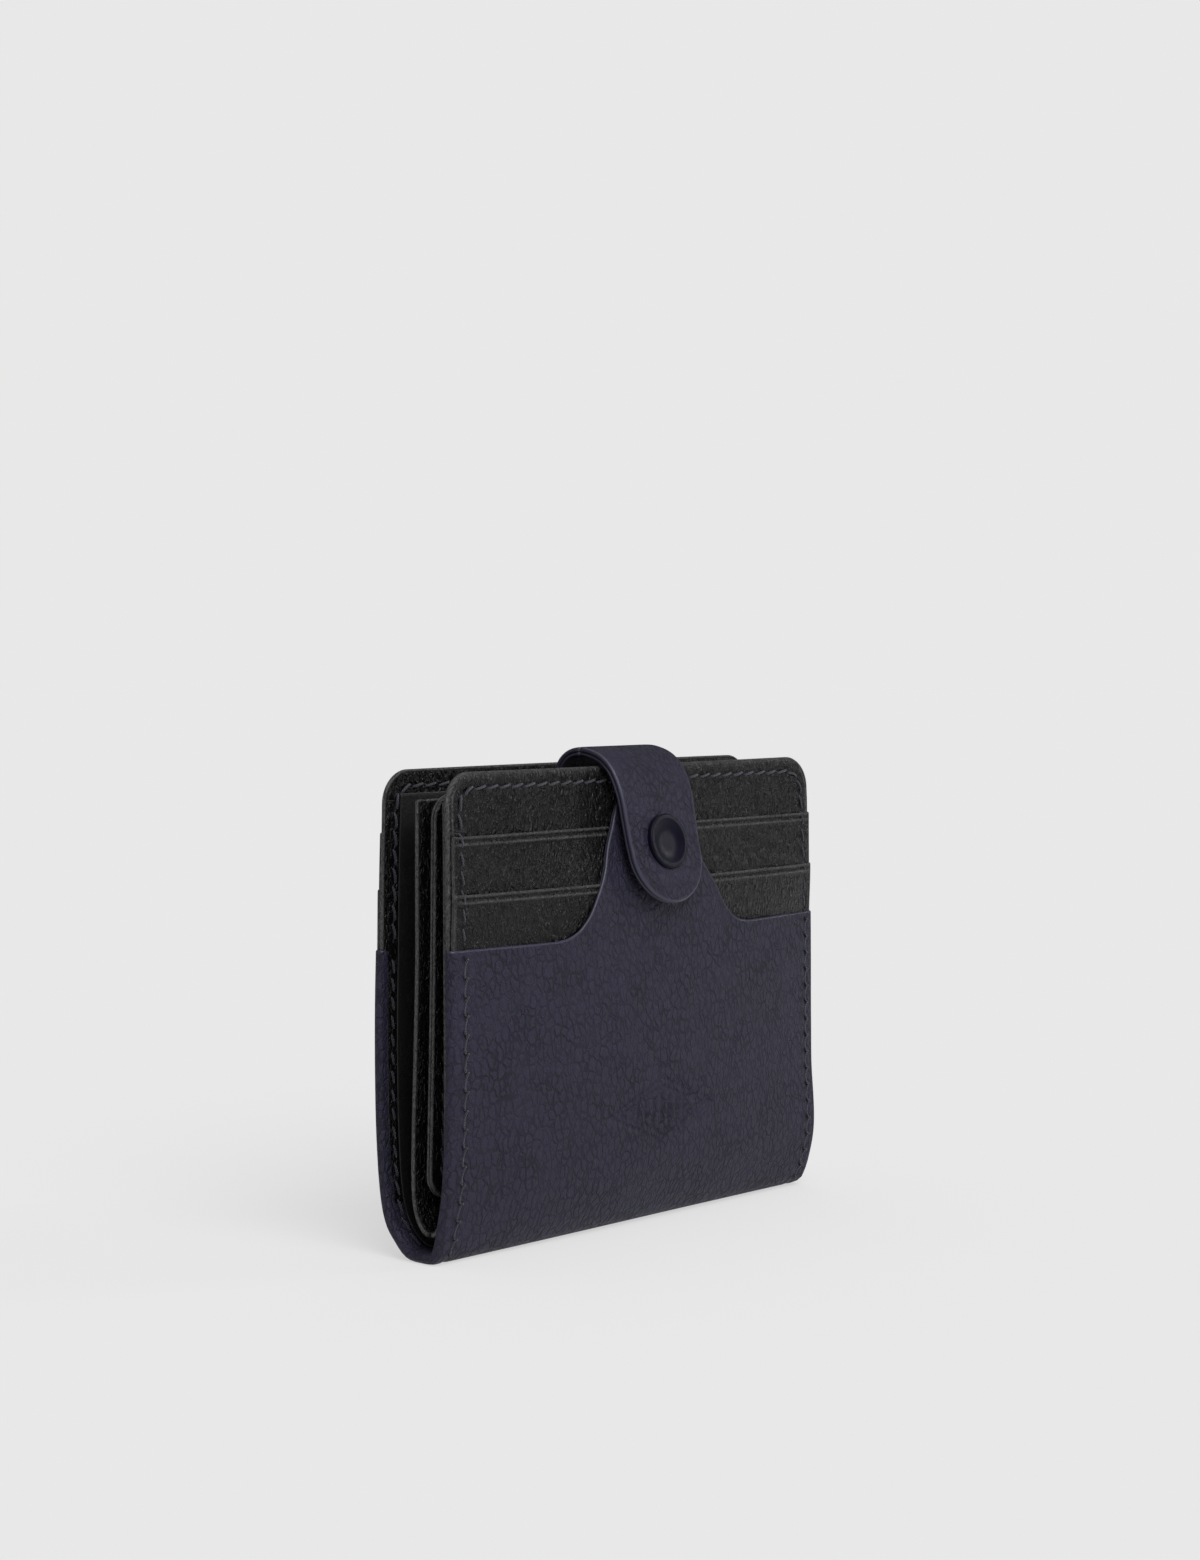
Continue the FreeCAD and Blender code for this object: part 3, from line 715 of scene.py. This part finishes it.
# The black covers' outer faces, by height: where their sides are, and how much further
# back the middle stands.
FRONT_SIDE = curve(
    [(84, -8.15), (80, -8.35), (73, -8.6), (63, -8.6), (53, -8.3), (40, -8.15), (9, -7.2)]
)
FRONT_SWELL = curve(
    [
        (84, 1.55), (80, 1.2), (75, 0.55), (69.3, -0.5), (65, -1.75), (61, -2.6),
        (55, -3.0), (40, -3.35), (20, -3.3), (9, -2.6),
    ]
)
BACK_SIDE = curve([(84, 8.0), (76, 8.2), (63, 8.6), (53, 8.75), (40, 9.0), (9, 7.7)])
BACK_SWELL = curve([(84, 0.6), (72, 0.9), (60, 1.2), (40, 1.7), (9, 1.2)])


def lining_y(x, z, back):
    """Where the lining's face is, at a height inside a cover."""
    s = LINING_LINE.where_z(z, back)
    y, _, swell, _, _ = LINING_LINE.at(s)
    return y + swell * crown(x)


def cover_y(x, z, back):
    """Where a black cover's outer face is."""
    side, swell = (BACK_SIDE, BACK_SWELL) if back else (FRONT_SIDE, FRONT_SWELL)
    return side(z) + swell(z) * crown(x)


def edge_distance(x, z, half=HALF, top=TOP, corner=CORNER):
    """How far a point of a cover is in from its sides and its rounded top."""
    dx, dz = np.abs(x) - (half - corner), z - (top - corner)
    outside = np.hypot(np.maximum(dx, 0), np.maximum(dz, 0))
    return corner - outside - np.minimum(np.maximum(dx, dz), 0)


# ---------------------------------------------------------------- navy pocket leather
TONGUE = curve(
    [
        (0, 77.6), (6.0, 77.5), (7.8, 76.8), (8.9, 75.2), (10.0, 72.8), (11.6, 69.3),
        (13.6, 65.0), (16.2, 61.0), (18.5, 57.5), (21.5, 54.9), (24.3, 53.9),
        (27.5, MOUTH), (60, MOUTH),
    ]
)


def emblem(x, z):
    """Depth of a plain pressed ornament: two lozenges and a row of short bars."""
    z = z - EMBLEM_Z
    line_width, bar_gap, longest_bar = 0.42, 2.1, 2.7
    depth = np.zeros(np.broadcast(x, z).shape)
    for a, b in ((14.0, 5.6), (11.2, 4.3)):
        away = (np.abs(x) / a + np.abs(z) / b - 1) * a * b / math.hypot(a, b)
        depth += dip(away, line_width)
    for k in range(-3, 4):
        reach = longest_bar * (1 - abs(k) / 4.6)
        along = np.maximum(np.abs(z) - reach, 0)
        depth += dip(np.hypot(x - bar_gap * k, along), line_width)
    return 0.40 * np.minimum(depth, 1.0)


def navy_section(columns):
    """Columns (x, depth, back x, back depth) of the leather, from hem to hem."""
    r = STACK / 2
    centre = HALF - r
    turn = np.linspace(-90, 90, 13)[1:-1] * math.pi / 180
    hem_x = steps(HALF - HEM, centre, 0.6, [(HALF - SEAM_IN, 0.5, 0.3)])
    right = [(x, STACK, x, STACK - SKIN) for x in hem_x]
    for a in turn:
        ca, sa = math.cos(a), math.sin(a)
        near = r - SKIN
        right.append((centre + r * ca, r - r * sa, centre + near * ca, r - near * sa))
    face = [(x, 0.0, x, SKIN) for x in columns]
    left = [(-x, d, -bx, bd) for x, d, bx, bd in right]
    return np.array(left + face + right[::-1])


def skew(x, y, z):
    """How far the right end of the front stands out near the fold."""
    furthest, middle_z, reach = 2.2, 9.0, 13.0
    forward = np.clip((-y - 1.5) / 4.0, 0, 1)
    return -furthest * np.clip(x / HALF, 0, 1) ** 2 * forward * dip(z - middle_z, reach)


def navy_point(s, x, depth):
    """A point of the pocket leather; depth is measured from its face, inwards."""
    y, z, swell, ny, nz = NAVY_LINE.at(s)
    out = skew(x, y, z) + swell * crown(x) + ny * depth
    return np.stack([x, y + out, z + nz * depth], -1)


def navy_depth(x, z, on_face, back):
    """How deep the stitches, the ornament and the mouth's crease press the face in."""
    groove = 0.13 * dip(np.abs(x) - (HALF - SEAM_IN), 0.45)
    if back:
        return groove * on_face
    inside = np.minimum(1, edge_of_mouth(x, z) / 1.2)
    crease = 0.06 * dip(edge_of_mouth(x, z) - 0.9, 0.22)
    return (groove + emblem(x, z) * inside + crease) * on_face


def edge_of_mouth(x, z):
    """Roughly how far below the pocket's mouth a point is, square to the mouth."""
    slope = (TONGUE(np.abs(x) + 0.2) - TONGUE(np.maximum(np.abs(x) - 0.2, 0))) / 0.4
    return (TONGUE(np.abs(x)) - z) / np.sqrt(1 + slope**2)


def navy_half(back):
    """The navy leather of one side, from the pocket's mouth to the fold's bottom."""
    middle = NAVY_LINE.where_y(-1.0)
    spots = [(HALF - SEAM_IN, 0.6, 0.3)]
    if not back:
        spots += [(16.0, 9.0, 0.42), (0, 14.5, 0.42)]
    columns = both_sides(steps(0.0, HALF - STACK / 2, 1.2, spots))
    x, depth, back_x, back_depth = navy_section(columns).T
    on_face = (depth == 0).astype(float)
    knee = NAVY_LINE.where_z(KNEE, back)
    if back:
        tops = np.full(len(x), NAVY_LINE.where_z(BACK_MOUTH, back))
        share = steps(0.0, 1.0, 0.16, [(0, 0.1, 0.04)])
        lower = steps(middle, knee, 1.1)[::-1]
    else:
        tops = NAVY_LINE.where_z(TONGUE(np.abs(x)))
        share = steps(0.0, 1.0, 0.06, [(0, 0.06, 0.02)])
        lower = steps(knee, middle, 1.1, [(NAVY_LINE.where_z(EMBLEM_Z), 6.2, 0.33)])
    upper = tops[None, :] + (knee - tops[None, :]) * share[:, None]
    s = np.concatenate([upper, np.repeat(lower[1:, None], len(x), 1)])
    gx = np.broadcast_to(x, s.shape)
    z = NAVY_LINE.at(s)[1]
    outer = navy_point(s, gx, depth + navy_depth(gx, z, on_face, back))
    inner = navy_point(s, np.broadcast_to(back_x, s.shape), back_depth)
    run = np.concatenate([[0], np.cumsum(np.hypot(np.diff(x), np.diff(depth)))])
    across = np.broadcast_to(run - run[-1] / 2, s.shape)
    uv = np.stack([across, s], -1)
    side = side_name(back)
    piece = shell(f"pocket_leather_{side}", outer, inner, uv, [PEBBLED, EDGE_NAVY], flat=True)
    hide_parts(f"{side}_outer_pocket", "spine_outer")
    bend_between(piece)
    return piece


# ---------------------------------------------------------------- black covers
def arc_columns(half, corner, spots, coarse=1.3):
    """Stations across a panel, with even turns round its upper corners."""
    flat = steps(0.0, half - corner, coarse, spots)
    turn = np.linspace(0, math.pi / 2, 15)[1:]
    return both_sides(np.concatenate([flat, half - corner + corner * np.sin(turn)]))


def rounded_top(x, half, top, corner):
    """The height of a panel's round-cornered upper edge."""
    over = np.clip(np.abs(x) - (half - corner), 0, corner)
    return top - corner + np.sqrt(corner**2 - over**2)


def panel_grid(x, low_z, high_z, share):
    """The x and z of a grid between a lower and an upper edge."""
    z = low_z[None, :] + (high_z - low_z)[None, :] * share[:, None]
    return np.broadcast_to(x, z.shape), z


def slab(back):
    """The covers' black leather body, its edges turned over a stiffener."""
    rim = 0.7
    half, top, corner = HALF - rim - 0.1, TOP - rim, CORNER - rim
    x = arc_columns(half, corner, [(half - 2.3, 0.6, 0.3)])
    high_z = rounded_top(x, half, top, corner)
    low_z = np.full(len(x), COVER_FOOT)
    share = steps(0.0, 1.0, 0.03, [(0.967, 0.015, 0.006), (1.0, 0.0, 0.004)])
    gx, z = panel_grid(x, low_z, high_z, share)
    sign = 1 if back else -1
    near = edge_distance(gx, z)
    groove = 0.16 * dip(near - SEAM_IN, 0.42) + 0.12 * dip(near - 1.9, 0.2)
    roll = 0.35 * np.exp(-np.maximum(near - rim, 0) / 0.7)
    hidden = np.clip((MOUTH - 1.5 - z) / 3, 0, 1)
    outer_y = cover_y(gx, z, back) - sign * (groove + roll)
    inner_y = lining_y(gx, np.minimum(z, LINING_TOP), back)
    inner_y = inner_y - sign * 0.06 * np.maximum(z - LINING_TOP, 0)
    inner_y = inner_y + sign * 0.12 * np.exp(-np.maximum(near - rim, 0) / 0.7)
    narrow = 1 - hidden * 1.25 / half
    outer = np.stack([gx * narrow, outer_y, z], -1)
    inner = np.stack([gx * narrow, inner_y, z], -1)
    uv = np.stack([gx, z], -1)
    side = side_name(back)
    # Painted highlight: a bright line about 1.35 mm in from the cover's edge.
    painted_highlight = 0.8 * dip(near - 1.35, 0.2)
    piece = shell(f"{side}_cover_leather", outer, inner, uv, [BLACK], ring=7, painted_highlight=painted_highlight)
    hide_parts(f"{side}_shell", f"{side}_board")
    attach(piece, f"{side}_cover")
    return piece


def slot_leather(back, upper):
    """A card slot's skin: its mouth is folded over and creased twice."""
    side, which = side_name(back), ("upper" if upper else "lower")
    mouth = SLOT_HIGH if upper else SLOT_LOW
    lift = 0.5 if upper else 0.95
    sign = 1 if back else -1
    half = HALF - 1.0
    x = both_sides(steps(0.0, half, 1.4, [(HALF - SEAM_IN, 0.6, 0.3), (half, 0.3, 0.3)]))
    down = steps(0.0, mouth - SLOT_FOOT, 1.5, [(0, 2.6, 0.16)])
    top_z, foot_z = np.full(len(x), mouth - 0.2), np.full(len(x), SLOT_FOOT)
    gx, z = panel_grid(x, top_z, foot_z, down / down[-1])
    below = mouth - z
    near = HALF - np.abs(gx)
    level = np.clip((near - 1.2) / 1.5, 0, 1)
    fold = 0.14 * dip(below - 0.2, 0.45) - 0.16 * dip(below - 0.85, 0.2)
    fold = (fold + 0.14 * dip(below - 1.45, 0.34) - 0.06 * dip(below - 2.1, 0.3)) * level
    # Painted highlights along the mouth's two ridges.
    painted_highlight = np.maximum(dip(below - 0.2, 0.26), 0.9 * dip(below - 1.4, 0.2))
    painted_highlight = painted_highlight * (0.4 + 0.6 * level)
    pressed = 0.14 * dip(near - SEAM_IN, 0.45) + 0.12 * np.exp(-near / 0.8)
    stand = lift * (0.72 + 0.28 * np.clip((near - SEAM_IN) / 8, 0, 1))
    phase = 0.6 if upper else 2.1
    wave = 0.10 * np.sin(gx / 9.0 + phase) * np.clip((near - 4) / 10, 0, 1)
    y = cover_y(gx, z, back) + sign * (stand + fold + wave * dip(below, 4.0) - pressed)
    outer = np.stack([gx, y, z], -1)
    inner = np.stack([gx, y - sign * (0.36 + 0.25 * np.exp(-near / 1.5)), z], -1)
    uv = np.stack([gx + GRAIN[f"slot_{which}"], z], -1)
    piece = shell(f"{side}_slot_{which}_leather", outer, inner, uv, [BLACK], painted_highlight=painted_highlight)
    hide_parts(f"{side}_slot_{which}")
    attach(piece, f"{side}_cover")
    return piece


def pocket_lining(back):
    """The thin lining under the pocket leather, seen as a second edge at its mouth."""
    side = side_name(back)
    x = both_sides(steps(0.0, HALF - 2.2, 1.2, [(16.0, 9.0, 0.45)]))
    if back:
        tops = np.full(len(x), NAVY_LINE.where_z(BACK_MOUTH, back) - 0.25)
    else:
        tops = NAVY_LINE.where_z(TONGUE(np.abs(x)) - 0.1)
    base = NAVY_LINE.where_z(KNEE - 6.0, back)
    share = steps(0.0, 1.0, 0.08, [(0, 0.05, 0.03)])
    s = tops[None, :] + (base - tops[None, :]) * share[:, None]
    gx = np.broadcast_to(x, s.shape)
    outer = navy_point(s, gx, SKIN + 0.03)
    inner = navy_point(s, gx, SKIN + 0.33)
    uv = np.stack([gx, s], -1)
    piece = shell(f"{side}_pocket_lining_leather", outer, inner, uv, [LINING, EDGE_NAVY])
    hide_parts(f"{side}_pocket_lining")
    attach(piece, f"{side}_cover")
    return piece


def cover_lining(back):
    """The lining inside a cover and half the fold, its edge inside the turned hem."""
    half = HALF - HEM + 0.3
    x = both_sides(steps(0.0, half, 1.5, [(half, 0.3, 0.3)]))
    s_line = half_of(LINING_LINE, LINING_LINE.where_y(-1.0), back)
    s = np.repeat(s_line[:, None], len(x), 1)
    gx = np.broadcast_to(x, s.shape)
    y, z, swell, ny, nz = LINING_LINE.at(s)
    grids = []
    for depth in (0.3, 0.02):
        out = skew(gx, y, z) + swell * crown(gx) + ny * depth
        grids.append(np.stack([gx, y + out, z + nz * depth], -1))
    uv = np.stack([gx + GRAIN["lining"], s], -1)
    side = side_name(back)
    piece = shell(f"{side}_lining_leather", *grids, uv, [LINING, EDGE_BLACK], flat=True)
    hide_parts(f"{side}_lining", "spine_lining")
    bend_between(piece)
    return piece


def half_of(line, middle, back, margin=0.0):
    """Stations along a line from its upper end, front or back, to its middle."""
    if back:
        return steps(middle, line.length - margin, 1.0)[::-1]
    return steps(margin, middle, 1.0)


# ---------------------------------------------------------------- inner leaf and page
def leaf_point(s, x, depth):
    """A point of the inner leaf; depth is measured from its lower face."""
    y, z, swell, ny, nz = LEAF_LINE.at(s)
    return np.stack([x, y + swell * crown(x) + ny * depth, z + nz * depth], -1)


def leaf_half(back):
    """Half of the U-shaped inner leaf, with a pressed line along its sides."""
    half, line_in = HALF - 1.0 - LEAF_SKIN / 2, 1.8
    x = both_sides(steps(0.0, half, 1.5, [(half - line_in, 0.5, 0.3)]))
    s_line = half_of(LEAF_LINE, LEAF_LINE.where_y(-2.8), back, margin=LEAF_SKIN / 2)
    s = np.repeat(s_line[:, None], len(x), 1)
    gx = np.broadcast_to(x, s.shape)
    groove = 0.12 * dip(np.abs(gx) - (half - line_in), 0.4)
    outer = leaf_point(s, gx, groove)
    inner = leaf_point(s, gx, LEAF_SKIN - groove)
    uv = np.stack([gx + GRAIN["leaf"], s], -1)
    side = side_name(back)
    piece = shell(f"inner_leaf_{side}", outer, inner, uv, [BLACK], flat=True, ring=6)
    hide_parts(f"inner_{side}_arm", "inner_fold")
    bend_between(piece)
    return piece


def leaf_slot(back, upper):
    """A card slot on the face of the inner leaf that looks at the page."""
    side, which = side_name(back), ("upper" if upper else "lower")
    node = f"inner_{side}_slot_{which}"
    mouth, base = high(node)[2], max(low(node)[2], 16.0)
    half = HALF - 4.6
    x = both_sides(steps(0.0, half, 1.6, [(half, 0.4, 0.3)]))
    top_s, base_s = (LEAF_LINE.where_z(z, back) for z in (mouth, base))
    s_line = base_s + (top_s - base_s) * (1 - steps(0, 1.0, 0.03, [(0, 0.06, 0.006)]))
    s = np.repeat(s_line[:, None], len(x), 1)
    gx = np.broadcast_to(x, s.shape)
    below = np.abs(s - top_s)
    fold = -0.1 * dip(below - 0.85, 0.2) + 0.07 * dip(below - 1.5, 0.42)
    lift = LEAF_SKIN + 0.05 + (0.0 if upper else 0.3)
    outer = leaf_point(s, gx, lift + 0.28 + fold)
    inner = leaf_point(s, gx, lift)
    uv = np.stack([gx + GRAIN["leaf_slot"], s], -1)
    piece = shell(f"{node}_leather", outer, inner, uv, [BLACK])
    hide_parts(node)
    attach(piece, f"{side}_cover")
    return piece


def page_panels():
    """Two skins sewn together round their edge, with rounded corners."""
    low_box = np.minimum(low("page_front_panel"), low("page_back_panel"))
    high_box = np.maximum(high("page_front_panel"), high("page_back_panel"))
    half, corner = high_box[0] - 0.3, 4.2
    foot, head = low_box[2] + 0.3, high_box[2] - 0.3
    foot_y = (low("page_front_panel")[1] + high("page_back_panel")[1]) / 2 + 0.75
    thick, line_in = 0.62, 2.4
    lean = math.tan(math.radians(1.2))

    def middle_y(z):
        bow = 0.5 * np.sin(np.clip((z - foot) / (head - foot), 0, 1) * math.pi)
        return foot_y - (z - foot) * lean - bow * 0.5

    x = arc_columns(half, corner, [(half - 2.6, 0.5, 0.35)], 1.6)
    high_z = rounded_top(x, half, head, corner)
    share = steps(0.0, 1.0, 0.03, [(0, 0.03, 0.01), (1, 0.03, 0.01)])
    gx, z = panel_grid(x, foot + head - high_z, high_z, share)
    near = edge_distance(gx, z, half, head, corner)
    near = np.minimum(near, edge_distance(gx, foot + head - z, half, head, corner))
    puff = 0.16 * np.clip((near - 2.6) / 6, 0, 1) - 0.1 * dip(near - line_in, 0.4)
    ring = rounded_path(half - line_in, foot + line_in, head - line_in, corner - 1.6)
    for which, sign in (("front", -1), ("back", 1)):
        outer = np.stack([gx, middle_y(z) + sign * (thick + puff), z], -1)
        inner = np.stack([gx, middle_y(z) + sign * 0.02, z], -1)
        uv = np.stack([gx + GRAIN[f"page_{which}"], z], -1)
        piece = shell(f"page_{which}_leather", outer, inner, uv, [BLACK], round_by=0.9)
        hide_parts(f"page_{which}_panel")
        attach(piece, "page")

        # The back's stitches lie deeper, to pass the inner leaf when the page turns.
        sunk, lift = (0.06, 0.17) if which == "front" else (0.18, 0.03)

        def place(u, v, out=sign * (thick - sunk)):
            return np.stack([u, middle_y(v) + out, v], -1)

        stations = ring[::-1] if which == "front" else ring
        stitches = seam(f"page_{which}_stitches", place, stations, 0.4, lift)
        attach(stitches, "page")


def rounded_path(half, foot, head, corner, closed=True):
    """Points round a rectangle with rounded corners; open, it leaves out the foot."""
    left, right, top = corner - half, half - corner, head - corner
    low_end = foot + corner if closed else foot

    def arc(x, z, degrees):
        turn = math.radians(degrees) - np.linspace(0, math.pi / 2, 8)
        return x + corner * np.cos(turn), z + corner * np.sin(turn)

    def run(x_from, z_from, x_to, z_to, count=120):
        return np.linspace(x_from, x_to, count), np.linspace(z_from, z_to, count)

    parts = [
        run(-half, low_end, -half, top),
        arc(left, top, 180),
        run(left, head, right, head, 160),
        arc(right, top, 90),
        run(half, top, half, low_end),
    ]
    if closed:
        parts = [run(right, foot, left, foot), arc(left, low_end, 270), *parts]
        parts.append(arc(right, low_end, 0))
    xs, zs = (np.concatenate(coordinate) for coordinate in zip(*parts))
    return list(zip(xs, zs))


# ---------------------------------------------------------------- strap
STRAP_LINE = Line(
    [
        (-16.95, 59.2, 0), (-16.2, 62.6, 0), (-15.05, 66.7, 0), (-14.13, 70.0, 0),
        (-13.15, 74.5, 0), (-12.2, 78.6, 0), (-11.1, 81.4, 0), (-9.7, 83.6, 0),
        (-7.6, 85.4, 0), (-4.6, 86.6, 0), (-1.6, 86.95, 0), (0.9, 86.35, 0),
        (2.7, 85.1, 0), (3.95, 83.3, 0), (4.9, 79.5, 0), (5.35, 75.0, 0), (6.1, 68.0, 0),
        (6.9, 60.0, 0),
    ]
)


def strap_half_width(s):
    """The strap widens a little from its round end to its root."""
    return np.interp(s, [0, TIP, TIP + 6, 24, 60], [9.5, 9.5, 9.75, 10.0, 10.0])


def strap_outline(s_line, columns, inset):
    """Where each grid point of the strap lies: across it, and along its line."""
    u = np.linspace(-1, 1, columns)
    u = np.sign(u) * np.abs(u) ** 0.9
    s = np.repeat(s_line[:, None], columns, 1)
    gu = np.broadcast_to(u, s.shape)
    v = np.clip((TIP - s) / TIP, 0, 1)
    reach = strap_half_width(s) - inset
    x = gu * np.sqrt(1 - v**2 / 2) * reach
    tip = TIP - v * np.sqrt(1 - gu**2 / 2) * (TIP - inset)
    return x, np.where(s < TIP, tip, s)


def strap_point(x, s, depth):
    """A point on the strap; depth is measured from its outer face, inwards."""
    y, z, _, ny, nz = STRAP_LINE.at(s)
    curl = 0.0015 * x**2 * np.clip((20 - s) / 20, 0, 1)
    return np.stack([x, y - ny * depth + curl, z - nz * depth], -1)


def strap_edge(x, s):
    """How far a point of the strap is in from its edge."""
    side = strap_half_width(s) - np.abs(x)
    tip = TIP - np.hypot(x, np.minimum(s - TIP, 0))
    return np.maximum(np.where(s < TIP, tip, side), 0)


def strap_half(back, lining):
    """One skin of the strap, from its tip or its root to the top of the arch."""
    middle = STRAP_LINE.where_top()
    thick = STRAP_LINING_SKIN if lining else STRAP_SKIN
    start = STRAP_SKIN + 0.02 if lining else 0.0
    inset = thick / 2 + (0.12 if lining else 0.0)
    if back:
        s_line = steps(middle, STRAP_LINE.length, 0.7)[::-1]
    else:
        s_line = steps(0.0, middle, 0.55)
    x, s = strap_outline(s_line, 57, inset)
    away = strap_edge(x, s)
    crease = 0.0 if lining else 0.09 * dip(away - 1.25, 0.22)
    roll = 0.0 if lining else 0.14 * np.exp(-away / 0.5)
    outer = strap_point(x, s, start + crease + roll)
    inner = strap_point(x, s, start + thick)
    uv = np.stack([x + GRAIN["strap"], s + 11], -1)
    kind, node = ("lining", "lining") if lining else ("leather", "outer")
    materials = [STRAP_LINING if lining else PEBBLED, EDGE_NAVY]
    name = f"strap_{side_name(back)}_{kind}"
    piece = shell(name, outer, inner, uv, materials, flat=True, ring=6)
    end = "strap_root" if back else "strap_tab"
    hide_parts(f"{end}_{node}", f"strap_bridge_{node}")
    if back:
        bend_between(piece)
    else:
        bend_between(piece)
    return piece


# ---------------------------------------------------------------- seams
def fold_seam(back, inside, hand):
    """Stitches down a cover's side and round its half of the fold, on one face."""
    middle = NAVY_LINE.where_y(-1.0)
    stop = 0.0 if inside else 3.0
    if back:
        s_line = np.arange(NAVY_LINE.where_z(BACK_MOUTH - 0.7, back), middle + stop, -0.5)
    else:
        s_line = np.arange(NAVY_LINE.where_z(MOUTH - 0.7), middle - stop, 0.5)
    depth = STACK if inside else 0.06

    def place(u, v):
        return navy_point(v, u, depth)

    x = HALF - SEAM_IN if hand == "right" else SEAM_IN - HALF
    side, face = side_name(back), ("inner" if inside else "outer")
    piece = seam(f"fold_stitches_{side}_{face}_{hand}", place, [(x, s) for s in s_line], 0.4)
    bend_between(piece)


def cover_top_seam(back, inside):
    """Stitches up both sides of a cover above the pocket and across its top."""
    foot, head = MOUTH + 0.5, TOP - SEAM_IN
    stations = rounded_path(HALF - SEAM_IN, foot, head, CORNER - 2.2, closed=False)
    if back == inside:
        stations = [(-x, z) for x, z in stations]
    sign = 1 if back else -1

    def place(u, v):
        if inside:
            y = lining_y(u, np.minimum(v, LINING_TOP), back) - sign * 0.02
        else:
            lift = np.where(v < SLOT_HIGH, 0.25, 0.0) + np.where(v < SLOT_LOW, 0.24, 0.0)
            y = cover_y(u, v, back) + sign * (lift - 0.12)
        return np.stack([u, y, v], -1)

    side, face = side_name(back), ("inner" if inside else "outer")
    piece = seam(f"cover_stitches_{side}_{face}", place, stations, 0.3)
    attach(piece, f"{side}_cover")


# ---------------------------------------------------------------- scene
def paint_snap():
    """The snap keeps its CAD shape and gets its paint and metal."""
    for node, material in (
        ("snap_cap", LACQUER),
        ("snap_socket", STEEL),
        ("snap_stud", STEEL),
        ("snap_stud_post", STEEL),
    ):
        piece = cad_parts[node]
        piece.data.materials.clear()
        piece.data.materials.append(material)


def build_object():
    """Makes every piece."""
    for back in (False, True):
        navy_half(back)
        slab(back)
        slot_leather(back, upper=True)
        slot_leather(back, upper=False)
        pocket_lining(back)
        cover_lining(back)
        leaf_half(back)
        leaf_slot(back, upper=True)
        leaf_slot(back, upper=False)
        strap_half(back, lining=False)
        strap_half(back, lining=True)
    page_panels()
    for back in (False, True):
        for inside in (False, True):
            fold_seam(back, inside, "left")
            fold_seam(back, inside, "right")
            cover_top_seam(back, inside)
    paint_snap()


def paper_floor():
    """A wide pale floor; it glows a little, so that it looks even."""
    n = Nodes("studio_paper")
    glow, reach = 0.7, 6.0
    place = n.add("TexCoord").outputs["Object"]
    tone = n.add("TexNoise", Vector=place, Scale=30.0, Detail=2.0).outputs["Fac"]
    shade = n.mix(tone, (0.855, 0.855, 0.855), (0.865, 0.865, 0.865))
    paper = n.add("BsdfDiffuse", Color=shade)
    shine = n.add("Emission", Color=(PAPER, PAPER, PAPER, 1), Strength=1.0)
    both = n.add("MixShader", i0=glow, i1=paper.outputs[0], i2=shine.outputs[0])
    surface = n.tree.nodes["Material Output"].inputs["Surface"]
    n.tree.links.new(both.outputs[0], surface)
    n.tree.nodes.remove(n.shader)
    verts = [(-reach, -reach, 0), (reach, -reach, 0), (reach, reach, 0), (-reach, reach, 0)]
    mesh = bpy.data.meshes.new("studio_floor")
    mesh.from_pydata(verts, [], [(0, 1, 2, 3)])
    mesh.materials.append(n.material)
    floor = bpy.data.objects.new("studio_floor", mesh)
    bpy.context.scene.collection.objects.link(floor)


def studio_air():
    """Pale air behind the object, which lights it only weakly."""
    world = bpy.data.worlds.new("studio_air")
    world.use_nodes = True
    nodes, links = world.node_tree.nodes, world.node_tree.links
    seen = nodes.new("ShaderNodeLightPath")
    shade = nodes.new("ShaderNodeMapRange")
    shade.inputs["To Min"].default_value = AIR
    shade.inputs["To Max"].default_value = PAPER
    links.new(seen.outputs["Is Camera Ray"], shade.inputs["Value"])
    links.new(shade.outputs[0], nodes["Background"].inputs["Color"])
    bpy.context.scene.world = world
    bpy.context.scene.view_settings.view_transform = "Standard"


def soft_light(name, direction, spread, strength):
    """A broad, distant softbox: it lights the whole floor evenly."""
    data = bpy.data.lights.new(name, "SUN")
    data.angle = math.radians(spread)
    data.energy = strength
    light = bpy.data.objects.new(name, data)
    light.location = Vector(direction)
    light.rotation_mode = "QUATERNION"
    light.rotation_quaternion = Vector(direction).to_track_quat("Z", "Y")
    bpy.context.scene.collection.objects.link(light)


def camera():
    """Places the camera by its azimuth and elevation."""
    azimuth, elevation = math.radians(CAMERA_AZIMUTH), math.radians(CAMERA_ELEVATION)
    level = math.cos(elevation)
    back = Vector(
        (math.sin(azimuth) * level, -math.cos(azimuth) * level, math.sin(elevation))
    )
    data = bpy.data.cameras.new("camera")
    data.sensor_width = 36.0
    data.lens = LENS
    data.clip_start, data.clip_end = 0.01, 20.0
    cam = bpy.data.objects.new("camera", data)
    cam.location = Vector(CAMERA_PLACE) * MM
    cam.rotation_mode = "QUATERNION"
    cam.rotation_quaternion = (-back).to_track_quat("-Z", "Y")
    bpy.context.scene.collection.objects.link(cam)
    bpy.context.scene.camera = cam


build_object()
paper_floor()
studio_air()
soft_light("key", (-0.25, -0.65, 0.75), 45, 2.3)
soft_light("top", (0.1, 0.15, 0.9), 60, 0.75)
soft_light("right", (0.8, -0.5, 0.3), 18, 0.5)
camera()
